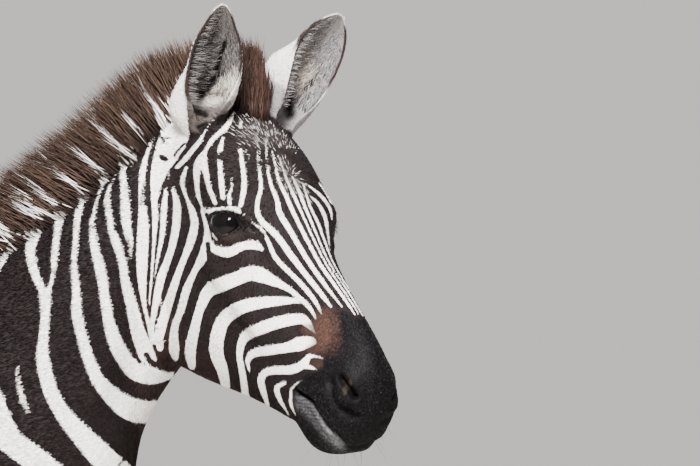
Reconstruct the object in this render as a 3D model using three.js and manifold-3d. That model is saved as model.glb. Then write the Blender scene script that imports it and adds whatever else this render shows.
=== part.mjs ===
// A plains zebra, life size, standing square with its head turned to its right.
//
// Animal frame, millimetres: +X forward, +Y to the animal's left, +Z up. The floor is Z = 0 and
// the middle plane of the trunk is Y = 0. Everything hangs in one group, moved so that the
// whole model's bounding box is centred over the origin.
//
// The flesh is one body: trunk, neck, head and legs are lofts joined into a single solid, then
// parted by flat cuts where a person would name a new part. Mane, ears, eyes, hooves and tail
// are their own solids, fitted against the flesh with a small gap.

import * as THREE from 'three';
import { mergeVertices } from 'three/addons/utils/BufferGeometryUtils.js';
import Module from 'manifold-3d';

const wasm = await Module();
wasm.setup();

// ---------- driving dimensions ----------

const GAP = 0.3; // clearance between neighbouring solids
const GROUP_SHIFT = new THREE.Vector3(4, 35, 0); // centres the bounding box over the origin

const POLL = new THREE.Vector3(660, -20, 1525); // top of the head, between the ears
const HEAD_YAW = 60; // degrees that the face turns from straight ahead to the animal's right
const HEAD_PITCH = 40; // degrees that the nose line drops below level
const HEAD_ROLL = -6; // degrees that the head tips about its own nose line

const EYE_RADIUS = 21;
const EYE_STEPS = [12, 8]; // round the globe, and from pole to pole
const EYE_CENTRE = { along: 164, up: -60, side: 61 }; // in the head's frame
const NOSTRIL_STEPS = [10, 6];
const NOSTRIL = { along: 449, up: -52, side: 46, long: 15, high: 8, deep: 12, slant: 38 };
const MOUTH_SLIT = 1.6; // height of the closed mouth's groove
const MOUTH_DEPTH = 9; // how far the groove runs in from the lips
const MOUTH_REACH = 80; // to each side, past the lips
const MOUTH_LINE = [ // seen from the side, from the corner to past the front
  { along: 390, up: -112 }, { along: 405, up: -106 }, { along: 425, up: -98 },
  { along: 445, up: -98 }, { along: 462, up: -106 }, { along: 505, up: -128 },
];
const CORE_END = 468; // along the head, where the muzzle's core behind the groove ends

const EAR_LENGTH = 153; // from its root below the skin
const EAR_WALL = 4.5; // with the coat on both faces
const EAR_COAT = 0.9; // how far the coat stands out from the ear's skin
const HOOF_HEIGHT = 64;
const FLOOR = 0;

// ---------- stations ----------
// Each loft is a list of stations. A station's sizes are named, and the loft runs a smooth
// curve through every one of them.

// Trunk: upright rings. x along the body, back and belly heights, half width at its widest,
// and how high that widest level lies between belly (0) and back (1).
const TRUNK = [
  { x: -786, back: 1010, belly: 905, half: 34, level: 0.5 },
  { x: -768, back: 1098, belly: 815, half: 104, level: 0.5 },
  { x: -715, back: 1168, belly: 745, half: 172, level: 0.5 },
  { x: -630, back: 1222, belly: 715, half: 208, level: 0.55 },
  { x: -520, back: 1246, belly: 705, half: 222, level: 0.55 },
  { x: -400, back: 1238, belly: 692, half: 228, level: 0.5 },
  { x: -260, back: 1218, belly: 655, half: 246, level: 0.45 },
  { x: -110, back: 1205, belly: 625, half: 254, level: 0.44 },
  { x: 40, back: 1206, belly: 622, half: 240, level: 0.45 },
  { x: 150, back: 1226, belly: 640, half: 208, level: 0.48 },
  { x: 240, back: 1240, belly: 662, half: 182, level: 0.45 },
  { x: 330, back: 1205, belly: 705, half: 168, level: 0.42 },
  { x: 410, back: 1110, belly: 765, half: 142, level: 0.42 },
  { x: 462, back: 1000, belly: 840, half: 92, level: 0.5 },
  { x: 474, back: 950, belly: 880, half: 40, level: 0.5 },
];

// Neck: each ring lies in the plane through a point of the crest and a point of the throat.
// yaw turns the ring with the head, y moves it off the middle plane.
const NECK = [
  { crestX: 120, crestZ: 1190, throatX: 300, throatZ: 800, half: 120, yaw: 0, y: 0 },
  { crestX: 190, crestZ: 1235, throatX: 400, throatZ: 830, half: 150, yaw: 0, y: 0 },
  { crestX: 245, crestZ: 1262, throatX: 474, throatZ: 885, half: 146, yaw: 0, y: 0 },
  { crestX: 310, crestZ: 1302, throatX: 512, throatZ: 960, half: 126, yaw: 0, y: 0 },
  { crestX: 377, crestZ: 1348, throatX: 531, throatZ: 1050, half: 106, yaw: 0, y: 0 },
  { crestX: 430, crestZ: 1384, throatX: 541, throatZ: 1122, half: 92, yaw: 3, y: 0 },
  { crestX: 478, crestZ: 1418, throatX: 560, throatZ: 1170, half: 82, yaw: 10, y: 2 },
  { crestX: 522, crestZ: 1456, throatX: 584, throatZ: 1208, half: 74, yaw: 22, y: 4 },
  { crestX: 562, crestZ: 1486, throatX: 612, throatZ: 1250, half: 62, yaw: 34, y: 4 },
  { crestX: 606, crestZ: 1500, throatX: 640, throatZ: 1300, half: 46, yaw: 46, y: 0 },
];

// Head, in its own frame: along runs from the poll to the lips, up is square to the nose line.
// Every ring passes through the forehead line, brow, cheek, jaw and the underside.
const HEAD = [
  { along: -36, top: -42, brow: [-55, 28], cheek: [-80, 32], jaw: [-108, 28], under: -120 },
  { along: -18, top: -12, brow: [-34, 44], cheek: [-85, 50], jaw: [-146, 40], under: -160 },
  { along: 20, top: 2, brow: [-22, 60], cheek: [-92, 62], jaw: [-180, 48], under: -196 },
  { along: 65, top: 9, brow: [-20, 68], cheek: [-100, 68], jaw: [-216, 52], under: -230 },
  { along: 110, top: 11, brow: [-20, 73], cheek: [-105, 72], jaw: [-244, 51], under: -252 },
  { along: 150, top: 8, brow: [-27, 75], cheek: [-108, 73], jaw: [-256, 48], under: -262 },
  { along: 175, top: 5, brow: [-32, 70], cheek: [-108, 75], jaw: [-258, 47], under: -263 },
  { along: 195, top: 3, brow: [-36, 62], cheek: [-106, 75], jaw: [-254, 46], under: -258 },
  { along: 235, top: 0, brow: [-42, 47], cheek: [-100, 71], jaw: [-234, 42], under: -240 },
  { along: 283, top: -4, brow: [-46, 37], cheek: [-98, 62], jaw: [-207, 37], under: -214 },
  { along: 330, top: -7, brow: [-50, 35], cheek: [-95, 53], jaw: [-184, 32], under: -191 },
  { along: 376, top: -9, brow: [-51, 36], cheek: [-92, 49], jaw: [-163, 31], under: -171 },
  { along: 413, top: -13, brow: [-50, 39], cheek: [-89, 51], jaw: [-153, 30], under: -164 },
  { along: 442, top: -23, brow: [-54, 39], cheek: [-88, 47], jaw: [-148, 27], under: -160 },
  { along: 465, top: -42, brow: [-62, 32], cheek: [-90, 37], jaw: [-130, 22], under: -141 },
  { along: 479, top: -66, brow: [-76, 20], cheek: [-93, 23], jaw: [-109, 15], under: -118 },
];

// Legs: level rings, from inside the trunk down to the coronet. x fore and aft, y out from the
// middle plane, long and wide the half sizes of the ring.
const FRONT_LEG = [
  { z: 1060, x: 285, y: 96, long: 60, wide: 40 },
  { z: 980, x: 330, y: 112, long: 100, wide: 62 },
  { z: 880, x: 345, y: 120, long: 112, wide: 66 },
  { z: 780, x: 315, y: 122, long: 102, wide: 60 },
  { z: 700, x: 284, y: 118, long: 74, wide: 49 },
  { z: 610, x: 273, y: 113, long: 53, wide: 41 },
  { z: 510, x: 270, y: 109, long: 41, wide: 33 },
  { z: 435, x: 269, y: 107, long: 35, wide: 30 },
  { z: 388, x: 271, y: 106, long: 36, wide: 33 },
  { z: 345, x: 267, y: 105, long: 31, wide: 29 },
  { z: 295, x: 264, y: 105, long: 24, wide: 21 },
  { z: 215, x: 262, y: 104, long: 23, wide: 20 },
  { z: 168, x: 260, y: 104, long: 31, wide: 26 },
  { z: 138, x: 264, y: 104, long: 30, wide: 25 },
  { z: 105, x: 277, y: 104, long: 23, wide: 23 },
  { z: 80, x: 287, y: 104, long: 28, wide: 28 },
  { z: HOOF_HEIGHT + GAP, x: 292, y: 104, long: 35, wide: 32 },
];

const HIND_LEG = [
  { z: 1110, x: -590, y: 90, long: 110, wide: 60 },
  { z: 1010, x: -610, y: 112, long: 152, wide: 86 },
  { z: 900, x: -606, y: 120, long: 160, wide: 90 },
  { z: 800, x: -590, y: 122, long: 146, wide: 80 },
  { z: 710, x: -588, y: 119, long: 112, wide: 64 },
  { z: 630, x: -618, y: 114, long: 76, wide: 50 },
  { z: 565, x: -660, y: 110, long: 54, wide: 36 },
  { z: 512, x: -688, y: 107, long: 52, wide: 31 },
  { z: 455, x: -688, y: 106, long: 40, wide: 31 },
  { z: 395, x: -676, y: 105, long: 31, wide: 25 },
  { z: 290, x: -666, y: 104, long: 26, wide: 22 },
  { z: 215, x: -661, y: 104, long: 25, wide: 21 },
  { z: 172, x: -659, y: 104, long: 32, wide: 27 },
  { z: 140, x: -653, y: 104, long: 30, wide: 25 },
  { z: 107, x: -639, y: 104, long: 24, wide: 23 },
  { z: 82, x: -629, y: 104, long: 28, wide: 27 },
  { z: HOOF_HEIGHT + GAP, x: -624, y: 104, long: 34, wide: 31 },
];

// How far each hoof stands forward of its leg's own line, so the stance isn't stiff.
const STANCE = { front_right: 0, front_left: 34, hind_right: 46, hind_left: -8 };
const STANCE_TOP = 800; // the legs keep their place above this height
const LEG_ROUND = 13; // points round a ring
const HOOF_ROUND = 14;

// Hoof: level rings from the coronet to the floor, forward of the coronet's centre.
const HOOF = [
  { z: HOOF_HEIGHT, forward: 0, long: 34, wide: 31.5 },
  { z: 52, forward: 2, long: 37, wide: 33 },
  { z: 24, forward: 8, long: 42.5, wide: 37 },
  { z: FLOOR, forward: 12, long: 47, wide: 40 },
];

// Tail: level rings down the dock and its tuft.
const TAIL = [
  { z: 1150, x: -720, y: 0, long: 22, wide: 22 },
  { z: 1120, x: -762, y: 0, long: 32, wide: 26 },
  { z: 1070, x: -796, y: 0, long: 26, wide: 22 },
  { z: 980, x: -815, y: 0, long: 19, wide: 18 },
  { z: 880, x: -821, y: 0, long: 17, wide: 16 },
  { z: 800, x: -823, y: 0, long: 20, wide: 19 },
  { z: 720, x: -824, y: 0, long: 28, wide: 29 },
  { z: 620, x: -824, y: 0, long: 30, wide: 32 },
  { z: 520, x: -820, y: 0, long: 22, wide: 24 },
  { z: 445, x: -816, y: 0, long: 7, wide: 8 },
];
const TUFT_TOP = 790;
const TAIL_ROUND = 10; // points round a ring

// Mane: each station stands on the crest and leans back; root and tip are points of the
// middle plane, half the root's half thickness.
const MANE = [
  { rootX: 205, rootZ: 1218, tipX: 186, tipZ: 1252, half: 7, y: 0 },
  { rootX: 262, rootZ: 1250, tipX: 215, tipZ: 1302, half: 12, y: 0 },
  { rootX: 325, rootZ: 1290, tipX: 268, tipZ: 1354, half: 15, y: 0 },
  { rootX: 378, rootZ: 1334, tipX: 320, tipZ: 1398, half: 16, y: 0 },
  { rootX: 421, rootZ: 1366, tipX: 363, tipZ: 1436, half: 17, y: 0 },
  { rootX: 475, rootZ: 1404, tipX: 420, tipZ: 1482, half: 17, y: 0 },
  { rootX: 523, rootZ: 1446, tipX: 485, tipZ: 1541, half: 17, y: 0 },
  { rootX: 566, rootZ: 1480, tipX: 546, tipZ: 1586, half: 17, y: -2 },
  { rootX: 606, rootZ: 1492, tipX: 600, tipZ: 1602, half: 16, y: -3 },
  { rootX: 636, rootZ: 1500, tipX: 636, tipZ: 1607, half: 17, y: -4 },
  { rootX: 655, rootZ: 1506, tipX: 660, tipZ: 1600, half: 17, y: -8 },
  { rootX: 666, rootZ: 1500, tipX: 676, tipZ: 1578, half: 16, y: -22 },
  { rootX: 672, rootZ: 1490, tipX: 687, tipZ: 1550, half: 12, y: -36 },
];
const MANE_TIP_HALF = 0.55; // the crest's thickness at its tips, as a share of the root's
const MANE_ROUND = 8; // points round a ring
const MANE_SPREAD = 1.35; // how far the hair spreads past the crest's own thickness

// Ears, in the head's frame. Each has its root below the skin, the way it points, how far its
// mouth turns to the side, and a swell round its back that is full low down and gone higher up.
// Rows give the half width up its length and how far round its two rims lie, in degrees from
// the back of the ear: the rim towards the animal's left, then the one towards its right.
const EARS = {
  right: {
    root: { along: 33, up: -16, side: -53 },
    lean: { along: -0.246, up: 0.953, side: -0.215 },
    face: -0.3,
    swell: { full: 0, gone: 0.54, size: 31 },
    rows: [
      { t: -0.14, radius: 19, left: 178, right: 160 },
      { t: 0, radius: 21, left: 178, right: 150 },
      { t: 0.12, radius: 25, left: 172, right: 128 },
      { t: 0.3, radius: 30, left: 140, right: 106 },
      { t: 0.5, radius: 31, left: 106, right: 98 },
      { t: 0.68, radius: 27, left: 93, right: 92 },
      { t: 0.84, radius: 17.5, left: 86, right: 86 },
      { t: 0.95, radius: 10, left: 80, right: 80 },
      { t: 1, radius: 3.5, left: 76, right: 76 },
    ],
  },
  left: {
    root: { along: 23, up: -15, side: 51 },
    lean: { along: -0.201, up: 0.99, side: 0.156 },
    face: -0.35,
    swell: { full: 0.4, gone: 0.7, size: 21 },
    rows: [
      { t: -0.14, radius: 19, left: 176, right: 170 },
      { t: 0, radius: 21, left: 172, right: 160 },
      { t: 0.12, radius: 25, left: 160, right: 152 },
      { t: 0.3, radius: 29, left: 122, right: 138 },
      { t: 0.5, radius: 31, left: 102, right: 122 },
      { t: 0.68, radius: 30, left: 92, right: 100 },
      { t: 0.84, radius: 23, left: 86, right: 88 },
      { t: 0.95, radius: 12, left: 80, right: 80 },
      { t: 1, radius: 4, left: 76, right: 76 },
    ],
  },
};
const EAR_BEND = 7; // the tip curls in by this much
const EAR_FLAT = 0.8; // the cup is shallower than it is wide
const EAR_ACROSS = 11; // steps from rim to rim
const SWELL_AT = 0.95; // where the swell lies round the back, in radians
const SWELL_WIDE = 0.6;

// ---------- helpers ----------

const rad = THREE.MathUtils.degToRad;
const smoothstep = THREE.MathUtils.smoothstep;
const V = (x, y, z) => new THREE.Vector3(x, y, z);

// Catmull-Rom value of one number at t between b and c, with neighbours a and d.
function catmull(a, b, c, d, t) {
  const square = t * t;
  const cube = square * t;
  return 0.5 * (2 * b + (c - a) * t + (2 * a - 5 * b + 4 * c - d) * square
    + (3 * b - a - 3 * c + d) * cube);
}

// A finer list of stations, with every named size (or pair of sizes) smoothly in between.
function refine(stations, perSpan) {
  const out = [];
  const last = stations.length - 1;
  const at = (i) => stations[Math.min(Math.max(i, 0), last)];
  for (let i = 0; i < last; i++) {
    for (let k = 0; k < perSpan; k++) {
      const t = k / perSpan;
      const mix = {};
      for (const key of Object.keys(stations[i])) {
        const four = [at(i - 1)[key], at(i)[key], at(i + 1)[key], at(i + 2)[key]];
        mix[key] = Array.isArray(four[1])
          ? four[1].map((_, n) => catmull(...four.map((pair) => pair[n]), t))
          : catmull(...four, t);
      }
      out.push(mix);
    }
  }
  out.push(stations[last]);
  return out;
}

// A closed skin over a list of rings with equal counts, capped flat at both ends. It comes out
// the right way round whichever way the rings run.
function loft(rings) {
  const count = rings[0].length;
  const points = rings.flat();
  const faces = [];
  for (let r = 0; r + 1 < rings.length; r++) {
    for (let i = 0; i < count; i++) {
      const a = r * count + i;
      const b = r * count + ((i + 1) % count);
      faces.push([a, b, b + count], [a, b + count, a + count]);
    }
  }
  for (const [r, flip] of [[0, true], [rings.length - 1, false]]) {
    const centre = points.push(rings[r].reduce((s, p) => s.add(p), V(0, 0, 0))
      .divideScalar(count)) - 1;
    for (let i = 0; i < count; i++) {
      const a = r * count + i;
      const b = r * count + ((i + 1) % count);
      faces.push(flip ? [b, a, centre] : [a, b, centre]);
    }
  }
  return closed(points, faces);
}

// An indexed geometry from points and faces, turned so that its faces point out.
function closed(points, faces) {
  let volume = 0;
  for (const [a, b, c] of faces) {
    volume += points[a].dot(points[b].clone().cross(points[c]));
  }
  const order = volume < 0 ? faces.map(([a, b, c]) => [a, c, b]) : faces;
  const geometry = new THREE.BufferGeometry();
  geometry.setAttribute('position',
    new THREE.Float32BufferAttribute(points.flatMap((p) => [p.x, p.y, p.z]), 3));
  geometry.setIndex(order.flat());
  return geometry;
}

// A three.js geometry as a solid that can be joined and cut.
function solid(geometry) {
  let plain = geometry.index ? geometry.clone() : geometry;
  plain.deleteAttribute('normal');
  plain.deleteAttribute('uv');
  plain = mergeVertices(plain, 1e-4);
  return new wasm.Manifold(new wasm.Mesh({
    numProp: 3,
    vertProperties: new Float32Array(plain.attributes.position.array),
    triVerts: new Uint32Array(plain.index.array),
  }));
}

// A solid back as a named three.js mesh.
function part(name, body, material) {
  const mesh = body.getMesh();
  const geometry = new THREE.BufferGeometry();
  geometry.setAttribute('position', new THREE.BufferAttribute(mesh.vertProperties, 3));
  geometry.setIndex(new THREE.BufferAttribute(mesh.triVerts, 1));
  geometry.computeVertexNormals();
  const object = new THREE.Mesh(geometry, material);
  object.name = name;
  return object;
}

// Point and direction from the head's frame to the animal's.
const headTurn = new THREE.Matrix4().makeRotationZ(rad(-HEAD_YAW))
  .multiply(new THREE.Matrix4().makeRotationY(rad(HEAD_PITCH)))
  .multiply(new THREE.Matrix4().makeRotationX(rad(HEAD_ROLL)));
const headDirection = (along, up, side) => V(along, side, up).transformDirection(headTurn);
const headPoint = (along, up, side) => V(along, side, up).applyMatrix4(headTurn).add(POLL);

// A level, rounded ring: long fore and aft, wide from side to side.
function levelRing({ x, y, z, long, wide }, count) {
  const ring = [];
  for (let i = 0; i < count; i++) {
    const a = (2 * Math.PI * i) / count;
    ring.push(V(x + long * Math.cos(a), y + wide * Math.sin(a), z));
  }
  return ring;
}

// ---------- flesh ----------

const BODY_ROUND = 20; // points round a ring of the trunk or the neck

function trunk() {
  const rings = refine(TRUNK, 2).map(({ x, back, belly, half, level }) => {
    const middle = belly + (back - belly) * level;
    const ring = [];
    for (let i = 0; i < BODY_ROUND; i++) {
      const a = (2 * Math.PI * i) / BODY_ROUND;
      const rise = Math.cos(a);
      const height = rise > 0 ? back - middle : middle - belly;
      ring.push(V(x, half * Math.sin(a), middle + height * rise));
    }
    return ring;
  });
  return loft(rings);
}

// The neck's rings are egg shaped: thin at the crest, full towards the throat. As the neck
// turns with the head, its crest moves to the near side and its throat to the far one.
const CREST_SHIFT = 18;
const THROAT_SHIFT = 22;
const NECK_FULLNESS = 0.16; // how much wider the throat's half is than the crest's
const NECK_WIDEST = 0.55; // from the crest to the throat

function neck() {
  const rings = refine(NECK, 2).map(({ crestX, crestZ, throatX, throatZ, half, yaw, y }) => {
    const crest = V(crestX, y - CREST_SHIFT * (yaw / HEAD_YAW), crestZ);
    const throat = V(throatX, y + THROAT_SHIFT * (yaw / HEAD_YAW), throatZ);
    const middle = crest.clone().lerp(throat, NECK_WIDEST);
    const side = V(Math.sin(rad(yaw)), Math.cos(rad(yaw)), 0);
    const ring = [];
    for (let i = 0; i < BODY_ROUND; i++) {
      const a = (2 * Math.PI * i) / BODY_ROUND;
      const rise = Math.cos(a);
      const end = rise > 0 ? crest : throat;
      const fullness = 1 - NECK_FULLNESS * rise;
      const reach = middle.clone().lerp(end, Math.abs(rise));
      ring.push(reach.addScaledVector(side, half * fullness * Math.sin(a)));
    }
    return ring;
  });
  return loft(rings);
}

// One ring of the head, or of its core when everything is drawn in by inset.
function headRing({ along, top, brow, cheek, jaw, under }, inset, count) {
  const knots = [
    [top - inset, 0], [brow[0], brow[1] - inset], [cheek[0], cheek[1] - inset],
    [jaw[0], jaw[1] - inset], [under + inset, 0],
    [jaw[0], -jaw[1] + inset], [cheek[0], -cheek[1] + inset], [brow[0], -brow[1] + inset],
  ];
  const outline = new THREE.CatmullRomCurve3(
    knots.map(([up, side]) => V(0, side, up)), true, 'centripetal');
  const points = outline.getSpacedPoints(count).slice(0, count);
  return points.map((p) => headPoint(along, p.z, p.y));
}

const HEAD_ROUND = 28; // points round a ring
const CORE_ROUND = 18;

function headLoft(inset) {
  const stations = refine(HEAD, inset ? 1 : 2);
  const used = inset ? stations.filter((s) => s.along < CORE_END) : stations;
  return loft(used.map((s) => headRing(s, inset, inset ? CORE_ROUND : HEAD_ROUND)));
}

// The closed mouth: a thin plate through the lips, less the core of the muzzle.
function mouthGroove() {
  const thin = MOUTH_SLIT / 2;
  const rings = MOUTH_LINE.map(({ along, up }) => [
    headPoint(along, up - thin, -MOUTH_REACH), headPoint(along, up + thin, -MOUTH_REACH),
    headPoint(along, up + thin, MOUTH_REACH), headPoint(along, up - thin, MOUTH_REACH),
  ]);
  return solid(loft(rings)).subtract(solid(headLoft(MOUTH_DEPTH)));
}

// A nostril: a slanting hollow in the side of the nose.
function nostril(sign) {
  const geometry = new THREE.SphereGeometry(1, ...NOSTRIL_STEPS);
  geometry.scale(NOSTRIL.long, NOSTRIL.deep, NOSTRIL.high);
  geometry.rotateY(rad(NOSTRIL.slant));
  geometry.translate(NOSTRIL.along, sign * NOSTRIL.side, NOSTRIL.up);
  geometry.applyMatrix4(headTurn);
  geometry.translate(POLL.x, POLL.y, POLL.z);
  return solid(geometry);
}

function eyeball(sign, radius) {
  const geometry = new THREE.SphereGeometry(radius, ...EYE_STEPS);
  const centre = headPoint(EYE_CENTRE.along, EYE_CENTRE.up, sign * EYE_CENTRE.side);
  geometry.translate(centre.x, centre.y, centre.z);
  return solid(geometry);
}

function leg(stations, sign, step) {
  const rings = stations.map((s) => {
    const share = THREE.MathUtils.clamp((STANCE_TOP - s.z) / (STANCE_TOP - HOOF_HEIGHT), 0, 1);
    return levelRing({ ...s, x: s.x + step * share, y: sign * s.y }, LEG_ROUND);
  });
  return loft(rings);
}

function hoof(stations, sign, step) {
  const coronet = stations[stations.length - 1];
  const rings = HOOF.map(({ z, forward, long, wide }) => levelRing(
    { x: coronet.x + step + forward, y: sign * coronet.y, z, long, wide }, HOOF_ROUND));
  return loft(rings);
}

const flesh = [neck(), headLoft(0),
  leg(FRONT_LEG, -1, STANCE.front_right), leg(FRONT_LEG, 1, STANCE.front_left),
  leg(HIND_LEG, -1, STANCE.hind_right), leg(HIND_LEG, 1, STANCE.hind_left)]
  .reduce((whole, piece) => whole.add(solid(piece)), solid(trunk()));

const fleshCut = [-1, 1].reduce(
  (whole, sign) => whole.subtract(nostril(sign)).subtract(eyeball(sign, EYE_RADIUS + GAP)),
  flesh.subtract(mouthGroove()));

// ---------- parting cuts ----------

const HALF_SPACE = 4000; // a block this wide stands for all that lies behind a plane

// A large block on the far side of a plane through point, facing away from normal.
function behind(point, normal, gap) {
  const geometry = new THREE.BoxGeometry(HALF_SPACE, HALF_SPACE, HALF_SPACE);
  geometry.translate(0, 0, -HALF_SPACE / 2 - gap);
  const turn = new THREE.Quaternion().setFromUnitVectors(V(0, 0, 1), normal.clone().normalize());
  geometry.applyQuaternion(turn);
  geometry.translate(point.x, point.y, point.z);
  return solid(geometry);
}

// The two sides of a cut: what lies ahead of the plane, and what lies behind it.
function cut(body, point, normal) {
  return {
    ahead: body.subtract(behind(point, normal, 0)),
    rest: body.intersect(behind(point, normal, GAP)),
  };
}

// A block between two corners.
function block(low, high) {
  const geometry = new THREE.BoxGeometry(high.x - low.x, high.y - low.y, high.z - low.z);
  geometry.translate((low.x + high.x) / 2, (low.y + high.y) / 2, (low.z + high.z) / 2);
  return solid(geometry);
}

// The head ends behind the ears and the angle of the jaw, at two planes: one across the head
// itself, and an upright one where the turned head meets the near side of the neck.
const NAPE_X = 560;
const nape = headPoint(-24, 10, 0); // along, up and side, as in every call of headPoint
const throatLatch = headPoint(128, -245, 0);
const headAxis = throatLatch.clone().sub(nape).cross(headDirection(0, 0, 1));
if (headAxis.dot(headDirection(1, 0, 0)) < 0) headAxis.negate();
const behindHead = (gap) => behind(nape, headAxis, gap).add(behind(V(NAPE_X, 0, 0), V(1, 0, 0), gap));
const headBody = fleshCut.subtract(behindHead(0));
const headless = fleshCut.intersect(behindHead(GAP));

// From the withers to the breast.
const withers = V(215, 0, 1250);
const breast = V(492, 0, 892);
const neckAxis = breast.clone().sub(withers).cross(V(0, 1, 0));
if (neckAxis.x < 0) neckAxis.negate();
const neckCut = cut(headless, withers, neckAxis);

// Below the chest and below the flank.
const FRONT_CUT = { x0: 150, x1: 520, z: 636 };
const HIND_CUT = { x0: -860, x1: -425, z: 686 };
const BESIDE = 400; // wider than the body, to each side
const BELOW = -50; // under the floor
const BEYOND = 1000; // longer than the body, each way

function legRegion({ x0, x1, z }, gap) {
  return block(V(x0, -BESIDE, BELOW), V(x1, BESIDE, z + gap));
}

function oneLeg(region, sign) {
  const [right, left] = sign < 0 ? [-BESIDE, 0] : [0, BESIDE];
  const half = block(V(-BEYOND, right, BELOW), V(BEYOND, left, BEYOND));
  return neckCut.rest.intersect(legRegion(region, 0)).intersect(half);
}

const trunkBody = neckCut.rest.subtract(legRegion(FRONT_CUT, GAP))
  .subtract(legRegion(HIND_CUT, GAP));

// ---------- pieces against the flesh ----------

// Cuts a piece clear of the flesh, with a gap along the way the piece grows.
const SEAT_GAP = 1.5 * GAP;

function seat(piece, way) {
  const step = way.clone().multiplyScalar(SEAT_GAP);
  return piece.subtract(flesh).subtract(flesh.translate([step.x, step.y, step.z]));
}

// The mane: a blade of standing hair from the withers to the forelock, wider at its roots.
function mane() {
  const rings = MANE.map(({ rootX, rootZ, tipX, tipZ, half, y }) => {
    const root = V(rootX, y, rootZ);
    const tip = V(tipX, y, tipZ);
    const ring = [];
    for (let i = 0; i < MANE_ROUND; i++) {
      const a = (2 * Math.PI * i) / MANE_ROUND;
      const rise = 0.5 + 0.5 * Math.cos(a);
      const thick = half * (1 - (1 - MANE_TIP_HALF) * rise);
      ring.push(root.clone().lerp(tip, rise).add(V(0, MANE_SPREAD * thick * Math.sin(a), 0)));
    }
    return ring;
  });
  return solid(loft(rings));
}

// An ear: a cupped leaf, thick walled, open at the front and rolled nearly shut at its root.
function ear({ root, lean, face: turn, swell, rows }) {
  const up = headDirection(lean.along, lean.up, lean.side);
  const foot = headPoint(root.along, root.up, root.side);
  const face = headDirection(1, 0, turn);
  face.addScaledVector(up, -face.dot(up)).normalize();
  const side = face.clone().cross(up).normalize();
  const wall = (shrink) => rows.map(({ t, radius, left, right }) => {
    const centre = foot.clone().addScaledVector(up, EAR_LENGTH * t)
      .addScaledVector(face, EAR_BEND * t * t);
    const swollen = swell.size * (1 - smoothstep(t, swell.full, swell.gone))
      * smoothstep(t, rows[0].t, 0.04);
    const line = [];
    for (let i = 0; i <= EAR_ACROSS; i++) {
      const rim = (2 * i) / EAR_ACROSS - 1;
      const a = rad(rim < 0 ? left : right) * rim;
      const r = Math.max(radius + EAR_COAT - shrink, 0.5)
        + swollen * Math.exp(-(((a - SWELL_AT) / SWELL_WIDE) ** 2));
      line.push(centre.clone().addScaledVector(face, -EAR_FLAT * r * Math.cos(a))
        .addScaledVector(side, r * Math.sin(a)));
    }
    return line;
  });
  const outer = wall(0);
  const inner = wall(EAR_WALL);
  // each ring runs round the outside of the cup and back along its inside
  return solid(loft(outer.map((line, k) => [...line, ...inner[k].slice().reverse()])));
}

function tail() {
  return solid(loft(TAIL.map((s) => levelRing(s, TAIL_ROUND))));
}

const tailBody = seat(tail(), V(-1, 0, 0));
const TAIL_ZONE = { x0: -BEYOND, x1: -700, half: 100 }; // holds the tail and nothing else
const tuftBlock = (gap) => block(
  V(TAIL_ZONE.x0, -TAIL_ZONE.half, FLOOR), V(TAIL_ZONE.x1, TAIL_ZONE.half, TUFT_TOP - gap));

// ---------- materials ----------

const finish = (color, roughness) => new THREE.MeshStandardMaterial(
  { color, roughness, metalness: 0 });
const coat = finish(0xd8d2cc, 0.85);
const muzzleSkin = finish(0x2a2628, 0.7);
const maneHair = finish(0x5a4236, 0.9);
const earSkin = finish(0x9a9490, 0.85);
const horn = finish(0x3c3632, 0.6);
const eyeFinish = finish(0x0c0808, 0.1);

// ---------- assembly ----------

const group = new THREE.Group();
const animal = new THREE.Group();
animal.position.copy(GROUP_SHIFT);
group.add(animal);

animal.add(part('head', headBody, coat));
animal.add(part('neck', neckCut.ahead, coat));
animal.add(part('trunk', trunkBody, coat));
animal.add(part('mane', seat(mane(), V(-0.6, 0, 0.8)), maneHair));
animal.add(part('tail_dock', tailBody.subtract(tuftBlock(0)), coat));
animal.add(part('tail_tuft', tailBody.intersect(tuftBlock(GAP)), maneHair));

for (const [side, sign] of [['right', -1], ['left', 1]]) {
  const { lean } = EARS[side];
  const earWay = headDirection(lean.along, lean.up, lean.side);
  animal.add(part(`ear_${side}`, seat(ear(EARS[side]), earWay), earSkin));
  animal.add(part(`eye_${side}`, eyeball(sign, EYE_RADIUS), eyeFinish));
  animal.add(part(`leg_front_${side}`, oneLeg(FRONT_CUT, sign), coat));
  animal.add(part(`leg_hind_${side}`, oneLeg(HIND_CUT, sign), coat));
  animal.add(part(`hoof_front_${side}`,
    solid(hoof(FRONT_LEG, sign, STANCE[`front_${side}`])), horn));
  animal.add(part(`hoof_hind_${side}`,
    solid(hoof(HIND_LEG, sign, STANCE[`hind_${side}`])), horn));
}

export default group;
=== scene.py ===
# %% [markdown]
# # A plains zebra, life size
# This lesson dresses the solid frame of a standing zebra: one skin over all the flesh, a coat of
# short tufts that follows the lie of the hair, a standing mane, cupped ears, wet eyes and horn
# hooves. Everything is in metres, in the frame's own axes: +X forward, +Y to the animal's left.

# %% Load the frame
import math
import time

import bmesh
import bpy
import numpy as np
from mathutils import Matrix, Vector
from mathutils.bvhtree import BVHTree
from mathutils.kdtree import KDTree


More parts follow.
